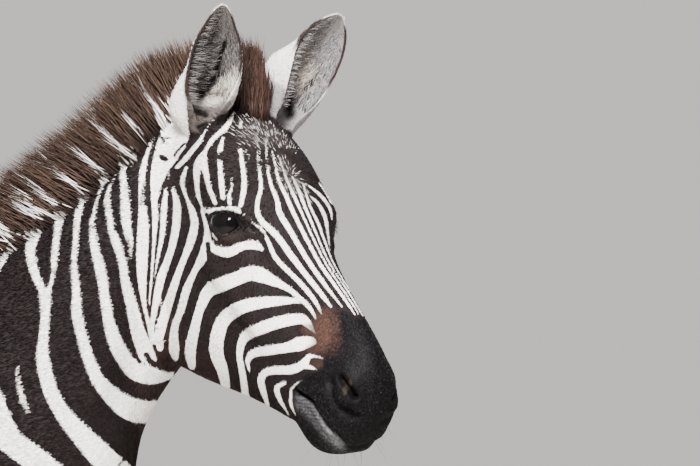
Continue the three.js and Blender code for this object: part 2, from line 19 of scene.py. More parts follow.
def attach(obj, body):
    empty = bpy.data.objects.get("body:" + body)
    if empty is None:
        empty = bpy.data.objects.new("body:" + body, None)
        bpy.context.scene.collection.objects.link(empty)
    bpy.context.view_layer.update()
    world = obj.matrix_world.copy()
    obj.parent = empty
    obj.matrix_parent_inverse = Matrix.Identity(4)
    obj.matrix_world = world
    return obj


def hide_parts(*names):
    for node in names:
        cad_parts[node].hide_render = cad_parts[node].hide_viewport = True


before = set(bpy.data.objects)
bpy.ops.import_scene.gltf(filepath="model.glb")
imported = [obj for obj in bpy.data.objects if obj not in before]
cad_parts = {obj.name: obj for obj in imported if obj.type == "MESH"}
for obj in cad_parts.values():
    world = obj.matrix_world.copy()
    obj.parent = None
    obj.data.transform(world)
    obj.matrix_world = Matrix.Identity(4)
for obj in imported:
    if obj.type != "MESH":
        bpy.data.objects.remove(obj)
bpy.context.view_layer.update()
started = time.time()


def tell(*words):
    """Prints what a cell has made, with the seconds since the start."""
    print(*words, round(time.time() - started, 1), "s")


print("nodes:", len(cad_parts))

# %% [markdown]
# ## Where things are
# The head is a rigid block, so features on it are easiest to place in its own frame: *along*
# from the poll towards the lips, *side* towards the animal's left, *up* square to the nose line.
# The frame turns with three angles. Sizes below are in millimetres, as a maker measures the
# animal, and become metres in one place.

# %% The head's frame
MM = 0.001
BODY_SHIFT = Vector((4, 35, 0)) * MM  # from the animal's middle plane to the frame's origin
POLL = Vector((660, -20, 1525)) * MM + BODY_SHIFT
HEAD_YAW, HEAD_PITCH, HEAD_ROLL = 60, 40, -6

head_turn = (Matrix.Rotation(math.radians(-HEAD_YAW), 3, "Z")
             @ Matrix.Rotation(math.radians(HEAD_PITCH), 3, "Y")
             @ Matrix.Rotation(math.radians(HEAD_ROLL), 3, "X"))
TURN = np.array(head_turn)
POLL_AT = np.array(POLL)
SHIFT_AT = np.array(BODY_SHIFT)


def to_head(points):
    """Scene points as columns along, side and up in the head's frame, in millimetres."""
    return (points - POLL_AT) @ TURN / MM


def head_to_scene(local):
    """Rows of along, side and up as scene points."""
    return POLL_AT + np.asarray(local, float) * MM @ TURN.T


def to_body(points):
    """Scene points in the animal's own millimetres, with y = 0 in the middle plane."""
    return (points - SHIFT_AT) / MM


def one_side(rows):
    """Rows with every side taken as positive, so that both sides of the animal match."""
    rows = np.array(rows, float)
    rows[:, 1] = abs(rows[:, 1])
    return rows


def smoothstep(low, high, value):
    """0 at low, 1 at high, with soft ends; low may be the larger."""
    t = np.clip((value - low) / (high - low), 0, 1)
    return t * t * (3 - 2 * t)


print("poll at", [round(x, 3) for x in POLL])

# %% [markdown]
# ## The camera
# A long lens, level with the eye, looks square at the animal's right side. At the head's
# distance one millimetre covers 0.854 of a pixel. Folds and stripes are placed in the 700 x 466
# frame, so two helpers turn pixels into rays and points into pixels.

# %% Camera
FRAME_WIDE, FRAME_HIGH = 700, 466
PIXELS_PER_MM = 0.8537
POLL_PIXEL = (241.4, 99.3)
CAMERA_AWAY = 6.0

focal_pixels = PIXELS_PER_MM * CAMERA_AWAY / MM
camera_at = POLL + Vector(((FRAME_WIDE / 2 - POLL_PIXEL[0]) / PIXELS_PER_MM * MM,
                           -CAMERA_AWAY,
                           -(FRAME_HIGH / 2 - POLL_PIXEL[1]) / PIXELS_PER_MM * MM))
camera_data = bpy.data.cameras.new("camera")
camera_data.sensor_width = 36
camera_data.lens = camera_data.sensor_width * focal_pixels / FRAME_WIDE
camera_data.clip_end = 60
camera = bpy.data.objects.new("camera", camera_data)
camera.location = camera_at
camera.rotation_euler = (math.radians(90), 0, 0)
bpy.context.scene.collection.objects.link(camera)
bpy.context.scene.camera = camera


def pixel_ray(x, y):
    """The direction of the ray through a pixel of the frame."""
    return Vector(((x - FRAME_WIDE / 2) / focal_pixels, 1,
                   (FRAME_HIGH / 2 - y) / focal_pixels)).normalized()


def to_pixels(points):
    """Where scene points fall in the frame, as columns x and y."""
    off = points - np.array(camera_at)
    return np.stack([FRAME_WIDE / 2 + off[:, 0] / off[:, 1] * focal_pixels,
                     FRAME_HIGH / 2 - off[:, 2] / off[:, 1] * focal_pixels], 1)


print("lens", round(camera_data.lens, 1), "mm at", [round(x, 3) for x in camera_at])

# %% [markdown]
# ## One skin over the flesh
# The frame parts the flesh into head, neck, trunk and legs. A skin has no seams there, so the
# pieces are copied, fused by a voxel remesh and smoothed. A single voxel size would be either
# too coarse for the eyelids or far too heavy for the flanks, so the fused mesh starts coarse and
# is divided again where the form is fine: once on the neck, twice on the head, three times
# round the eyes, the nostrils and the lips. The divided faces are then laid on a finer fusing.

# %% Mesh helpers
FLESH = ["head", "neck", "trunk", "tail_dock", "leg_front_right", "leg_front_left",
         "leg_hind_right", "leg_hind_left"]
EYES = ["eye_right", "eye_left"]


def new_object(name, mesh):
    piece = bpy.data.objects.new(name, mesh)
    bpy.context.scene.collection.objects.link(piece)
    return piece


def new_mesh(name, points, faces):
    """A mesh from points in metres and equal-sided faces, both as arrays."""
    mesh = bpy.data.meshes.new(name)
    points, faces = np.asarray(points, np.float32), np.asarray(faces, np.int32)
    sides = faces.shape[1]
    mesh.vertices.add(len(points))
    mesh.vertices.foreach_set("co", points.ravel())
    mesh.loops.add(faces.size)
    mesh.loops.foreach_set("vertex_index", faces.ravel())
    mesh.polygons.add(len(faces))
    mesh.polygons.foreach_set("loop_start", np.arange(0, faces.size, sides, dtype=np.int32))
    mesh.update(calc_edges=True)
    return mesh


def smooth(mesh, material, flat_ends=False):
    """Gives a mesh its finish and soft shading, but for level ends where asked."""
    for polygon in mesh.polygons:
        polygon.use_smooth = not flat_ends or abs(polygon.normal.z) < 0.9
    mesh.materials.clear()
    mesh.materials.append(material)


def points_of(mesh):
    found = np.empty(len(mesh.vertices) * 3, np.float32)
    mesh.vertices.foreach_get("co", found)
    return found.reshape(-1, 3).astype(np.float64)


def set_points(mesh, points):
    mesh.vertices.foreach_set("co", points.astype(np.float32).ravel())
    mesh.update()


def normals_of(mesh):
    found = np.empty(len(mesh.vertices) * 3, np.float32)
    mesh.vertex_normals.foreach_get("vector", found)
    return found.reshape(-1, 3).astype(np.float64)


def edges_of(mesh):
    found = np.empty(len(mesh.edges) * 2, np.int32)
    mesh.edges.foreach_get("vertices", found)
    return found.reshape(-1, 2)


def tree_of(mesh):
    return BVHTree.FromPolygons([tuple(p) for p in points_of(mesh)],
                                [tuple(f.vertices) for f in mesh.polygons])


def relaxed(points, edges, rounds, share=0.5):
    """Points eased towards the mean of their neighbours; share may differ by point."""
    a, b = edges.T
    count = np.bincount(np.concatenate([a, b]), minlength=len(points))[:, None].clip(1)
    share = np.broadcast_to(np.asarray(share, float).reshape(-1, 1), (len(points), 1))
    for _ in range(rounds):
        total = np.stack([np.bincount(a, points[b, k], len(points))
                          + np.bincount(b, points[a, k], len(points))
                          for k in range(points.shape[1])], 1)
        points = points + share * (total / count - points)
    return points


def fused(names, voxel):
    """The named frame nodes as one closed mesh of small squares."""
    bm = bmesh.new()
    for name in names:
        bm.from_mesh(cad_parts[name].data)
    bmesh.ops.remove_doubles(bm, verts=bm.verts, dist=1e-6)
    mesh = bpy.data.meshes.new("fused")
    bm.to_mesh(mesh)
    bm.free()
    holder = new_object("fused", mesh)
    remesh = holder.modifiers.new("fuse", "REMESH")
    remesh.mode = "VOXEL"
    remesh.voxel_size = voxel
    graph = bpy.context.evaluated_depsgraph_get()
    result = bpy.data.meshes.new_from_object(holder.evaluated_get(graph))
    bpy.data.objects.remove(holder)
    return result


# %% Coarse skin, divided where the form is fine
BODY_VOXEL = 0.0133
FINE_VOXEL = 0.0036
# along, side (either way), up and reach round the eyes and the nostrils
EYE_REGION, NOSTRIL_REGION = (178, 68, -56, 36), (454, 34, -60, 27)
EYE_AT = (164, 61, -60)  # along, side, up of each globe's centre
EYE_RADIUS = 21
COAT_DEPTH = (0.9, 1.8)  # on the head, on the body


def head_share(points):
    """1 on the head, 0 on the neck behind it."""
    return (smoothstep(-60, -20, to_head(points)[:, 0])
            * smoothstep(520, 560, to_body(points)[:, 0]))


skin_mesh = fused(FLESH + EYES, BODY_VOXEL)
skin_mesh.name = "skin"
set_points(skin_mesh, relaxed(points_of(skin_mesh), edges_of(skin_mesh), 7))


def near_neck(at):
    """Faces of the upper neck and the head."""
    return to_body(at)[:, 0] > 345


def near_head(at):
    """Faces of the head itself, with the ears' roots."""
    local = to_head(at)
    return (local[:, 0] > -60) & (local[:, 2] > -285) & (to_body(at)[:, 0] > 545)


def near_folds(at):
    """Faces round the eyes, the nostrils and the lips."""
    local = one_side(to_head(at))
    chosen = (local[:, 0] > 392) & (abs(local[:, 2] + 109) < 15)
    for *middle, reach in (EYE_REGION, NOSTRIL_REGION):
        chosen |= ((local - middle) ** 2).sum(1) < reach ** 2
    return chosen


def near_nose(at):
    """Faces along the nose bone, where the stripes are narrowest."""
    along, side, up = to_head(at).T
    return (along > 150) & (along < 370) & (abs(side) < 47) & (up > -45)


def divided(mesh, chosen):
    """Cuts every chosen face in four."""
    bm = bmesh.new()
    bm.from_mesh(mesh)
    centres = np.array([f.calc_center_median() for f in bm.faces])
    picked = chosen(centres)
    edges = {e for f, p in zip(bm.faces, picked) if p for e in f.edges}
    bmesh.ops.subdivide_edges(bm, edges=list(edges), cuts=1, use_grid_fill=True)
    bm.to_mesh(mesh)
    bm.free()
    mesh.update()


for region in (near_neck, near_head, near_folds, near_nose):
    divided(skin_mesh, region)
    triangles = sum(len(f.vertices) - 2 for f in skin_mesh.polygons)
    print("divided:", triangles, "triangles")

# %% Lay the divided skin on a finer fusing
fine = fused(["head", "neck"] + EYES, FINE_VOXEL)
set_points(fine, relaxed(points_of(fine), edges_of(fine), 12))
fine_tree = tree_of(fine)
points = points_of(skin_mesh)
hold = smoothstep(350, 420, to_body(points)[:, 0])
for i in np.flatnonzero(hold > 0):
    place, _, _, _ = fine_tree.find_nearest(Vector(points[i]))
    points[i] += hold[i] * (np.array(place) - points[i])
skin_edges = edges_of(skin_mesh)
set_points(skin_mesh, relaxed(points, skin_edges, 3))
depth = COAT_DEPTH[1] + (COAT_DEPTH[0] - COAT_DEPTH[1]) * head_share(points_of(skin_mesh))
set_points(skin_mesh, points_of(skin_mesh) - normals_of(skin_mesh) * depth[:, None] * MM)
smooth_tree = tree_of(skin_mesh)
tell("laid on", len(fine.vertices), "points")


def spot(x, y):
    """The place on the smooth skin under a pixel of the frame."""
    place, _, _, _ = smooth_tree.ray_cast(camera_at, pixel_ray(x, y))
    return np.array(place)


# %% [markdown]
# ## Bone and muscle under the skin
# A loft gives the large masses only. What makes a head read as a horse's is shallow: the hollow
# over the eye, the crest of the cheekbone, the edge of the chewing muscle, the dip beside the
# nose bone. Each is a soft push along the skin's normal round a point or along a line, a few
# millimetres deep, so both sides of the head get it at once. The body gets its shoulder,
# elbow, ribs, hip, flank and stifle the same way.

# %% Soft pushes on the head and the body


def nearest_on(line, points):
    """For each point, the share along a line where it comes nearest, and how near."""
    share = np.zeros(len(points))
    best = np.full(len(points), np.inf)
    for k, (a, b) in enumerate(zip(line[:-1], line[1:])):
        t = np.clip((points - a) @ (b - a) / ((b - a) @ (b - a)), 0, 1)
        away = np.linalg.norm(points - a - t[:, None] * (b - a), axis=1)
        share = np.where(away < best, k + t, share)
        best = np.minimum(best, away)
    return share, best


def reach_of(points, line):
    """Distance of each point from a line of points, or from a single point."""
    line = np.asarray(line, float)
    if len(line) == 1:
        return np.linalg.norm(points - line[0], axis=1)
    return nearest_on(line, points)[1]


# name: (line of along, side, up), radius, height; millimetres, hollows are negative
HEAD_FORMS = {
    "hollow over the eye": ([(112, 50, -8), (132, 54, -16)], 21, -4.5),
    "brow": ([(150, 70, -36), (178, 62, -32)], 15, 3.0),
    "cheekbone crest": ([(178, 73, -104), (235, 68, -103), (292, 58, -106)], 13, 4.5),
    "under the crest": ([(200, 70, -134), (290, 56, -132)], 22, -4.0),
    "chewing muscle": ([(95, 66, -150), (130, 66, -176)], 46, 5.0),
    "ear's root": ([(-14, 54, -44), (6, 68, -64)], 26, 13),
    "jaw edge": ([(60, 52, -214), (120, 50, -240), (178, 46, -250)], 14, 2.5),
    "behind the jaw": ([(-18, 46, -95), (2, 48, -160)], 20, -6.0),
    "beside the nose bone": ([(225, 48, -52), (300, 42, -62), (380, 42, -66)], 17, -4.0),
    "before the eye": ([(215, 56, -48)], 15, -3.0),
    "nostril's wing": ([(446, 46, -66), (458, 41, -70)], 12, 3.5),
    "over the nostril": ([(432, 36, -40), (450, 28, -42)], 12, 2.5),
    "upper lip": ([(440, 44, -88), (470, 22, -96)], 12, 2.0),
    "lower lip": ([(412, 44, -122), (440, 42, -119), (462, 24, -128)], 12, 4.5),
    "lips' meeting": ([(474, 0, -121), (470, 22, -112)], 6, -6.0),
    "chin": ([(428, 10, -152)], 20, 3.0),
    "chin groove": ([(392, 22, -158)], 16, -3.0),
}
# name: (line of x, y out from the middle plane, z), radius, height
BODY_FORMS = {
    "shoulder blade": ([(215, 130, 1150), (330, 150, 900)], 50, 7),
    "behind the shoulder": ([(120, 190, 1080), (190, 190, 860)], 55, -9),
    "point of shoulder": ([(470, 100, 880)], 50, 8),
    "upper arm": ([(230, 165, 790), (330, 160, 800)], 45, 7),
    "elbow": ([(205, 140, 740)], 30, 8),
    "breast groove": ([(500, 0, 800), (505, 0, 960)], 26, -9),
    "hip": ([(-430, 160, 1170)], 40, 8),
    "flank": ([(-330, 190, 1030), (-345, 190, 900)], 62, -12),
    "thigh": ([(-560, 190, 980), (-530, 190, 860)], 70, 8),
    "stifle": ([(-455, 150, 760)], 38, 8),
    "rump groove": ([(-700, 110, 1010), (-690, 120, 860)], 34, -7),
    "gaskin": ([(-640, 140, 640)], 36, 5),
    "hock point": ([(-735, 108, 530)], 16, 5),
    "behind the shin, front": ([(236, 106, 300), (236, 106, 200)], 12, 3),
    "behind the shin, hind": ([(-690, 106, 400), (-684, 106, 220)], 12, 3),
    "knee": ([(300, 106, 420)], 20, 4),
    "neck muscle": ([(330, 110, 1180), (480, 80, 1330)], 46, 5),
    "throat groove": ([(420, 90, 1060), (560, 60, 1235)], 26, -7),
}


def pushed(points, normals, place, forms):
    """The points moved out along their normals by every form near them."""
    out = np.zeros(len(points))
    for line, radius, height in forms.values():
        out += height * np.exp(-(reach_of(place, line) / radius) ** 2)
    return points + normals * out[:, None] * MM


points, normals = points_of(skin_mesh), normals_of(skin_mesh)
in_head = head_share(points)
head_shape = pushed(points, normals, one_side(to_head(points)), HEAD_FORMS)
body_shape = pushed(points, normals, one_side(to_body(points)), BODY_FORMS)
points = body_shape + in_head[:, None] * (head_shape - body_shape)
set_points(skin_mesh, points)
print("forms:", len(HEAD_FORMS), "on the head,", len(BODY_FORMS), "on the body")

# %% [markdown]
# ## Ears
# A zebra's ear is a leaf of cartilage rolled into a cup: nearly a closed tube at its root, wide
# open in the middle, pointed at the tip. Each is made as a thin closed shell from a few rows of
# height, radius and half opening, with a smooth curve drawn through them, and is then joined to
# the head by a boolean union. The joint is eased into a fillet, so no seam is left in the skin.

# %% A smooth curve through rows, and faces between rings


def through(rows, steps):
    """Rows with a smooth curve drawn through them, steps points to each span."""
    rows = np.asarray(rows, float)
    padded = np.vstack([2 * rows[0] - rows[1], rows, 2 * rows[-1] - rows[-2]])
    t = (np.arange(steps) / steps)[:, None]
    spans = [0.5 * (2 * b + (c - a) * t + (2 * a - 5 * b + 4 * c - d) * t ** 2
                    + (3 * b - a - 3 * c + d) * t ** 3)
             for a, b, c, d in zip(padded, padded[1:], padded[2:], padded[3:])]
    return np.vstack(spans + [rows[-1:]])


def ring_faces(rings, sides, first=0):
    """Triangles between rings of points that follow each other in a list."""
    faces = []
    for k in range(rings - 1):
        for i in range(sides):
            a = first + k * sides + i
            b = first + k * sides + (i + 1) % sides
            faces += [(a, b, b + sides), (a, b + sides, a + sides)]
    return faces


def unit(vector):
    vector = np.asarray(vector, float)
    return vector / np.linalg.norm(vector, axis=-1, keepdims=True).clip(1e-9)


# %% Ear shells
# height up the ear, radius, then how far round its two rims lie, in degrees from the back:
# the rim towards the animal's left, then the one towards its right
EAR_ROWS = {-1: [(-0.14, 19, 178, 160), (0, 21, 178, 150), (0.12, 25, 172, 128),
                 (0.3, 30, 140, 106), (0.5, 31, 106, 98), (0.68, 27, 93, 92), (0.84, 17.5, 86, 86),
                 (0.95, 10, 80, 80), (1, 3.5, 76, 76)],
            1: [(-0.14, 19, 176, 170), (0, 21, 172, 160), (0.12, 25, 160, 152),
                (0.3, 29, 122, 138), (0.5, 31, 102, 122), (0.68, 30, 92, 100), (0.84, 23, 86, 88),
                (0.95, 12, 80, 80), (1, 4, 76, 76)]}
EAR_LENGTH = 153
EAR_ROOT = {-1: (33, -53, -16), 1: (23, 51, -15)}  # along, side, up
EAR_LEAN = {-1: (-0.246, -0.215, 0.953), 1: (-0.201, 0.156, 0.99)}
EAR_TURN = {-1: -0.3, 1: -0.35}  # how far each mouth turns to the animal's right
# the back of each ear swells towards the animal's right: height it starts, height it is full, size
EAR_SWELL = {-1: (0.54, 0.0, 31), 1: (0.7, 0.4, 21)}
EAR_SWELL_AT, EAR_SWELL_WIDE = 0.95, 0.6  # where round the back, and how widely, in radians
EAR_BEND = 7
EAR_WALL = 3.2
EAR_ACROSS = 27
EAR_FLAT = 0.8  # the cup is shallower than it is wide

ear_points, ear_marks = [], []  # places on both ears; sign, height, round, inside


def ear_shell(sign):
    """One ear as a closed mesh: every ring runs round the outside and back along the inside."""
    up = unit(EAR_LEAN[sign])
    face = np.array((1, EAR_TURN[sign], 0), float)
    face = unit(face - up * (face @ up))
    side = np.cross(face, up)
    rings = []
    for height, radius, left_rim, right_rim in through(EAR_ROWS[sign], 6):
        rim = np.linspace(-1, 1, EAR_ACROSS)
        turn = np.radians(np.where(rim < 0, left_rim, right_rim)) * rim
        centre = np.array(EAR_ROOT[sign]) + up * EAR_LENGTH * height
        centre = centre + face * EAR_BEND * height ** 2
        ridges = sum(np.exp(-((turn - at) / 0.13) ** 2) for at in (-0.9, -0.35, 0.35, 0.9))
        wall = EAR_WALL * (1 - 0.55 * rim ** 4) + 1.6 * ridges * smoothstep(0.1, 0.4, height)
        wall = wall * smoothstep(1.25, 0.85, height)
        start, full, size = EAR_SWELL[sign]
        swell = (size * np.exp(-((turn - EAR_SWELL_AT) / EAR_SWELL_WIDE) ** 2)
                 * smoothstep(start, full, height) * smoothstep(-0.2, 0.04, height))
        for inside, r in ((0, radius + 0 * wall), (1, np.maximum(radius - wall, 0.6))):
            r = r + swell
            line = (centre - face * (EAR_FLAT * r * np.cos(turn))[:, None]
                    + side * (r * np.sin(turn))[:, None])
            ear_marks.extend((sign, height, x, inside) for x in rim)
            ear_points.append(line)
            rings.append(line[::-1] if inside else line)
    loops = [np.vstack(rings[i:i + 2]) for i in range(0, len(rings), 2)]
    count, rows = 2 * EAR_ACROSS, len(loops)
    points = np.vstack(loops + [loops[0].mean(0), loops[-1].mean(0)])
    faces = ring_faces(rows, count)
    for i in range(count):
        j = (i + 1) % count
        faces.append((rows * count, j, i))
        faces.append((rows * count + 1, (rows - 1) * count + i, (rows - 1) * count + j))
    mesh = new_mesh("ear", head_to_scene(points), faces)
    bm = bmesh.new()
    bm.from_mesh(mesh)
    bmesh.ops.recalc_face_normals(bm, faces=bm.faces)
    bm.to_mesh(mesh)
    bm.free()
    return mesh


ears = [ear_shell(-1), ear_shell(1)]
ear_points = head_to_scene(np.vstack(ear_points))
ear_marks = np.array(ear_marks)
print("ears:", [len(ear.polygons) for ear in ears], "triangles")

# %% Join the ears to the skin
SEAM_REACH = 14  # how far from the joint the fillet runs


def joined(base, others):
    holder = new_object("joined", base)
    helpers = [new_object("joining", other) for other in others]
    for helper in helpers:
        union = holder.modifiers.new("union", "BOOLEAN")
        union.operation = "UNION"
        union.solver = "MANIFOLD"
        union.object = helper
    graph = bpy.context.evaluated_depsgraph_get()
    result = bpy.data.meshes.new_from_object(holder.evaluated_get(graph))
    for piece in [holder] + helpers:
        bpy.data.objects.remove(piece)
    return result


def distance_tree(points):
    tree = KDTree(len(points))
    for i, place in enumerate(points):
        tree.insert(place, i)
    tree.balance()
    return tree


bare_tree = tree_of(skin_mesh)
ear_trees = [tree_of(ear) for ear in ears]
skin_mesh = joined(skin_mesh, ears)
skin_mesh.name = "skin"
points = points_of(skin_mesh)
by_ear = np.flatnonzero((to_head(points)[:, 2] > -30) & (abs(to_head(points)[:, 0]) < 110))
seam = [i for i in by_ear
        if bare_tree.find_nearest(Vector(points[i]))[3] < 2e-5
        and min(tree.find_nearest(Vector(points[i]))[3] for tree in ear_trees) < 2e-5]
seam_tree = distance_tree(points[seam])
ease = np.zeros(len(points))
for i in by_ear:
    away = seam_tree.find(points[i])[2] / MM
    ease[i] = math.exp(-(away / SEAM_REACH) ** 2)
skin_edges = edges_of(skin_mesh)
set_points(skin_mesh, relaxed(points, skin_edges, 18, 0.6 * ease))
tell("joined:", len(seam), "points on the seams,",
     sum(len(f.vertices) - 2 for f in skin_mesh.polygons), "triangles")

# %% [markdown]
# ## Eyelids, nostrils and mouth
# Each fold starts as a line drawn in the frame and dropped onto the smooth skin, then held in
# the head's own frame, so that the far side gets the mirror image. The eye is an almond
# opening: skin inside it sinks under the globe, skin just outside it rides over the globe as a
# lid with a crease behind. The nostril is a slanting slit with raised rims, and the mouth a
# thin groove.

# %% Fold lines
LID_OPENING = [(206, 213), (211, 215.5), (216, 213), (222, 211.6), (228, 211.8), (235, 214),
               (242, 218), (248, 222), (255, 228), (263, 235.5), (257, 234), (250, 230.5),
               (242, 231.5), (235, 234), (228, 236), (221, 234.5), (215.5, 230), (211, 223)]
LID_CREASE = [(205, 208), (214, 206.5), (224, 205.5), (234, 207), (243, 211.5), (252, 217.5)]
LOWER_CREASE = [(208, 227), (213, 238), (221, 244.5), (230, 246.5), (240, 243), (250, 239),
                (262, 240)]
NOSTRIL_SLIT = [(341, 378), (346, 385), (351, 391), (355, 396.5)]
NOSTRIL_WING = [(331, 384), (332, 395), (335, 402.5), (341.5, 410), (350, 415), (357, 418)]
MOUTH_LINE = [(297, 391), (301, 394), (308, 398), (313, 402), (318, 409), (323, 417), (328, 425),
              (334, 431), (340, 437), (346, 444), (350.5, 448)]


def on_head(line):
    """A line of the frame as along, side (always positive) and up."""
    return one_side(to_head(np.array([spot(x, y) for x, y in line])))


opening, crease, under_crease = on_head(LID_OPENING), on_head(LID_CREASE), on_head(LOWER_CREASE)
slit, wing, mouth = on_head(NOSTRIL_SLIT), on_head(NOSTRIL_WING), on_head(MOUTH_LINE)
mouth = np.vstack([mouth, [mouth[-1] * (1, 0, 1)]])
print("mouth corner at", mouth[0].round(), "nostril at", slit[1].round())

# %% The eye's opening
eye_at = np.array(EYE_AT, float)
look = opening.mean(0) - eye_at
look = look / np.linalg.norm(look)
across = np.cross((0, 0, 1), look)
across /= np.linalg.norm(across)
upward = np.cross(look, across)


def in_eye_plane(local):
    """Rows of along, side and up, seen square to the way the eye looks."""
    off = local - eye_at
    return np.stack([off @ across, off @ upward], 1)


def signed_reach(flat, outline):
    """Distance from a closed outline, negative inside it."""
    outline = np.asarray(outline, float)
    closed = np.vstack([outline, outline[:1]])
    best, inside = reach_of(flat, closed), np.zeros(len(flat), bool)
    for a, b in zip(closed[:-1], closed[1:]):
        crosses = (a[1] > flat[:, 1]) != (b[1] > flat[:, 1])
        rise = np.where(b[1] == a[1], 1e-9, b[1] - a[1])
        inside ^= crosses & (flat[:, 0] < (b[0] - a[0]) * (flat[:, 1] - a[1]) / rise + a[0])
    return np.where(inside, -best, best)


LID_OVER = 2.6  # how far the lid's edge stands over the globe
SOCKET = 18.0  # how near the centre the skin lies inside the opening
LID_WIDE = 13  # how far from the opening the lid reaches

points = points_of(skin_mesh)
sign = np.where(to_head(points)[:, 1] < 0, -1.0, 1.0)
local = one_side(to_head(points))
reach = np.linalg.norm(local - eye_at, axis=1)
facing = (local - eye_at) @ look
near = np.flatnonzero((reach < 75) & (facing > -4))
lid_gap = np.full(len(points), 99.0)
lid_gap[near] = signed_reach(in_eye_plane(local[near]), in_eye_plane(opening))

gap, far = lid_gap[near], reach[near]
over_globe = smoothstep(41, 32, far)
lid = EYE_RADIUS + LID_OVER
lifted = far + (np.maximum(far, lid) - far) * smoothstep(LID_WIDE, 4, gap)
lifted -= (lifted - lid) * smoothstep(5, 0, gap) * over_globe * (lifted > lid) * 0.75
sunk_globe = lifted + (SOCKET - lifted) * smoothstep(0.4, -2.2, gap)
sunk_corner = lifted - 4.5 * smoothstep(0.8, -2.0, gap)
final = sunk_corner + over_globe * (sunk_globe - sunk_corner)
out = (local[near] - eye_at) / far[:, None]
moved = local.copy()
moved[near] = eye_at + out * final[:, None]
for line, deep, wide in ((crease, 2.2, 3.2), (under_crease, 1.6, 3.0)):
    moved[near] -= out * (deep * np.exp(-(reach_of(local[near], line) / wide) ** 2)
                          * smoothstep(1, 4, gap))[:, None]
print("lids: opening", round(np.ptp(in_eye_plane(opening)[:, 0])), "mm long")

# %% Nostril and mouth
moved[:, 1] *= sign
set_points(skin_mesh, head_to_scene(moved))
points, normals = points_of(skin_mesh), normals_of(skin_mesh)
local = one_side(to_head(points))
muzzle_end = np.flatnonzero(local[:, 0] > 380)


RIM_SPREAD = 4
# line, height of the rim beside it and how far off, depth and half width, share on the far side
GROOVES = [(slit, 0.6, 7, 11, 3.0, 0.35), (wing, 0.0, 7, 7.5, 5.4, 0.35),
           (mouth, 1.8, 6, 7.5, 2.1, 1.0)]
LIP_WRINKLE = 0.8


def pressed(line, rise, rim_at, deep, wide, far_side):
    """Presses a groove with a soft rim into the muzzle's skin, along its normals."""
    away = reach_of(local[muzzle_end], line)
    height = (rise * np.exp(-((away - rim_at) / RIM_SPREAD) ** 2)
              - deep * np.exp(-(away / wide) ** 2))
    height = height * np.where(sign[muzzle_end] > 0, far_side, 1)
    points[muzzle_end] += normals[muzzle_end] * height[:, None] * MM


for groove in GROOVES:
    pressed(*groove)
wrinkles = on_head([(300, 394), (312, 402), (322, 417)])
away = reach_of(local, wrinkles)
fold = np.sin(local[:, 0] * 0.9 + local[:, 2] * 0.55) * np.exp(-((away - 8) / 7) ** 2)
fold *= (smoothstep(390, 400, local[:, 0]) * smoothstep(446, 425, local[:, 0])
         * smoothstep(-100, -104, local[:, 2]))
points = relaxed(points, skin_edges, 2, 0.12 * head_share(points))
set_points(skin_mesh, points + normals * (LIP_WRINKLE * fold)[:, None] * MM)
tell("folds done")

# %% [markdown]
# ## Stripes of the head and neck
# A zebra's face is drawn in fine lines that follow its shape: thin stripes run down the nose
# bone, broad ones curl round the cheek, and the neck's bands rise into the mane. Each white
# stripe is a brush stroke: points with a width, read in the camera's frame. A few dark strokes
# are laid over the white where it is broken. Strokes are given for the right side only; the
# left side is its mirror image, as a zebra's coat very nearly is, but for the far half of the
# nose, which is drawn as it is seen.

# %% White strokes: x, y, full width in pixels of the frame
NOSE_STRIPES = [
    [(242, 217, 1), (251, 223, 2), (261, 229, 3.5), (268, 241, 4.5), (275, 257, 5.5), (288, 271, 5.5),
     (302, 285, 5.5), (315, 301, 5), (321.5, 314, 2)],
    [(258, 128, 2), (258, 155, 2.5), (259, 170, 3.5), (261, 187, 4.5), (257, 205, 5), (260, 219, 6),
     (276, 235, 7), (290, 254, 7), (306, 275, 6), (322, 295, 5.5), (331, 307, 3)],
    [(266, 140, 2), (267, 165, 3), (271, 185, 4), (277, 200, 5), (280, 214, 6.5), (291, 232, 6),
     (305, 256, 5.5), (322, 281, 5), (342, 307, 2)],
    [(272, 150, 2), (278, 178, 3.5), (286, 196, 4.7), (295, 216, 4.7), (307, 240, 4.5),
     (320, 264, 4.3), (336, 287, 3.7), (350, 307, 3), (355, 315, 1.5)],
    [(278, 155, 2), (287, 180, 3), (295, 198, 4), (303, 216, 3), (314, 240, 2.7), (326, 264, 2.4),
     (341, 287, 2.3), (355, 308, 2.2), (359, 315, 1.5)],
]
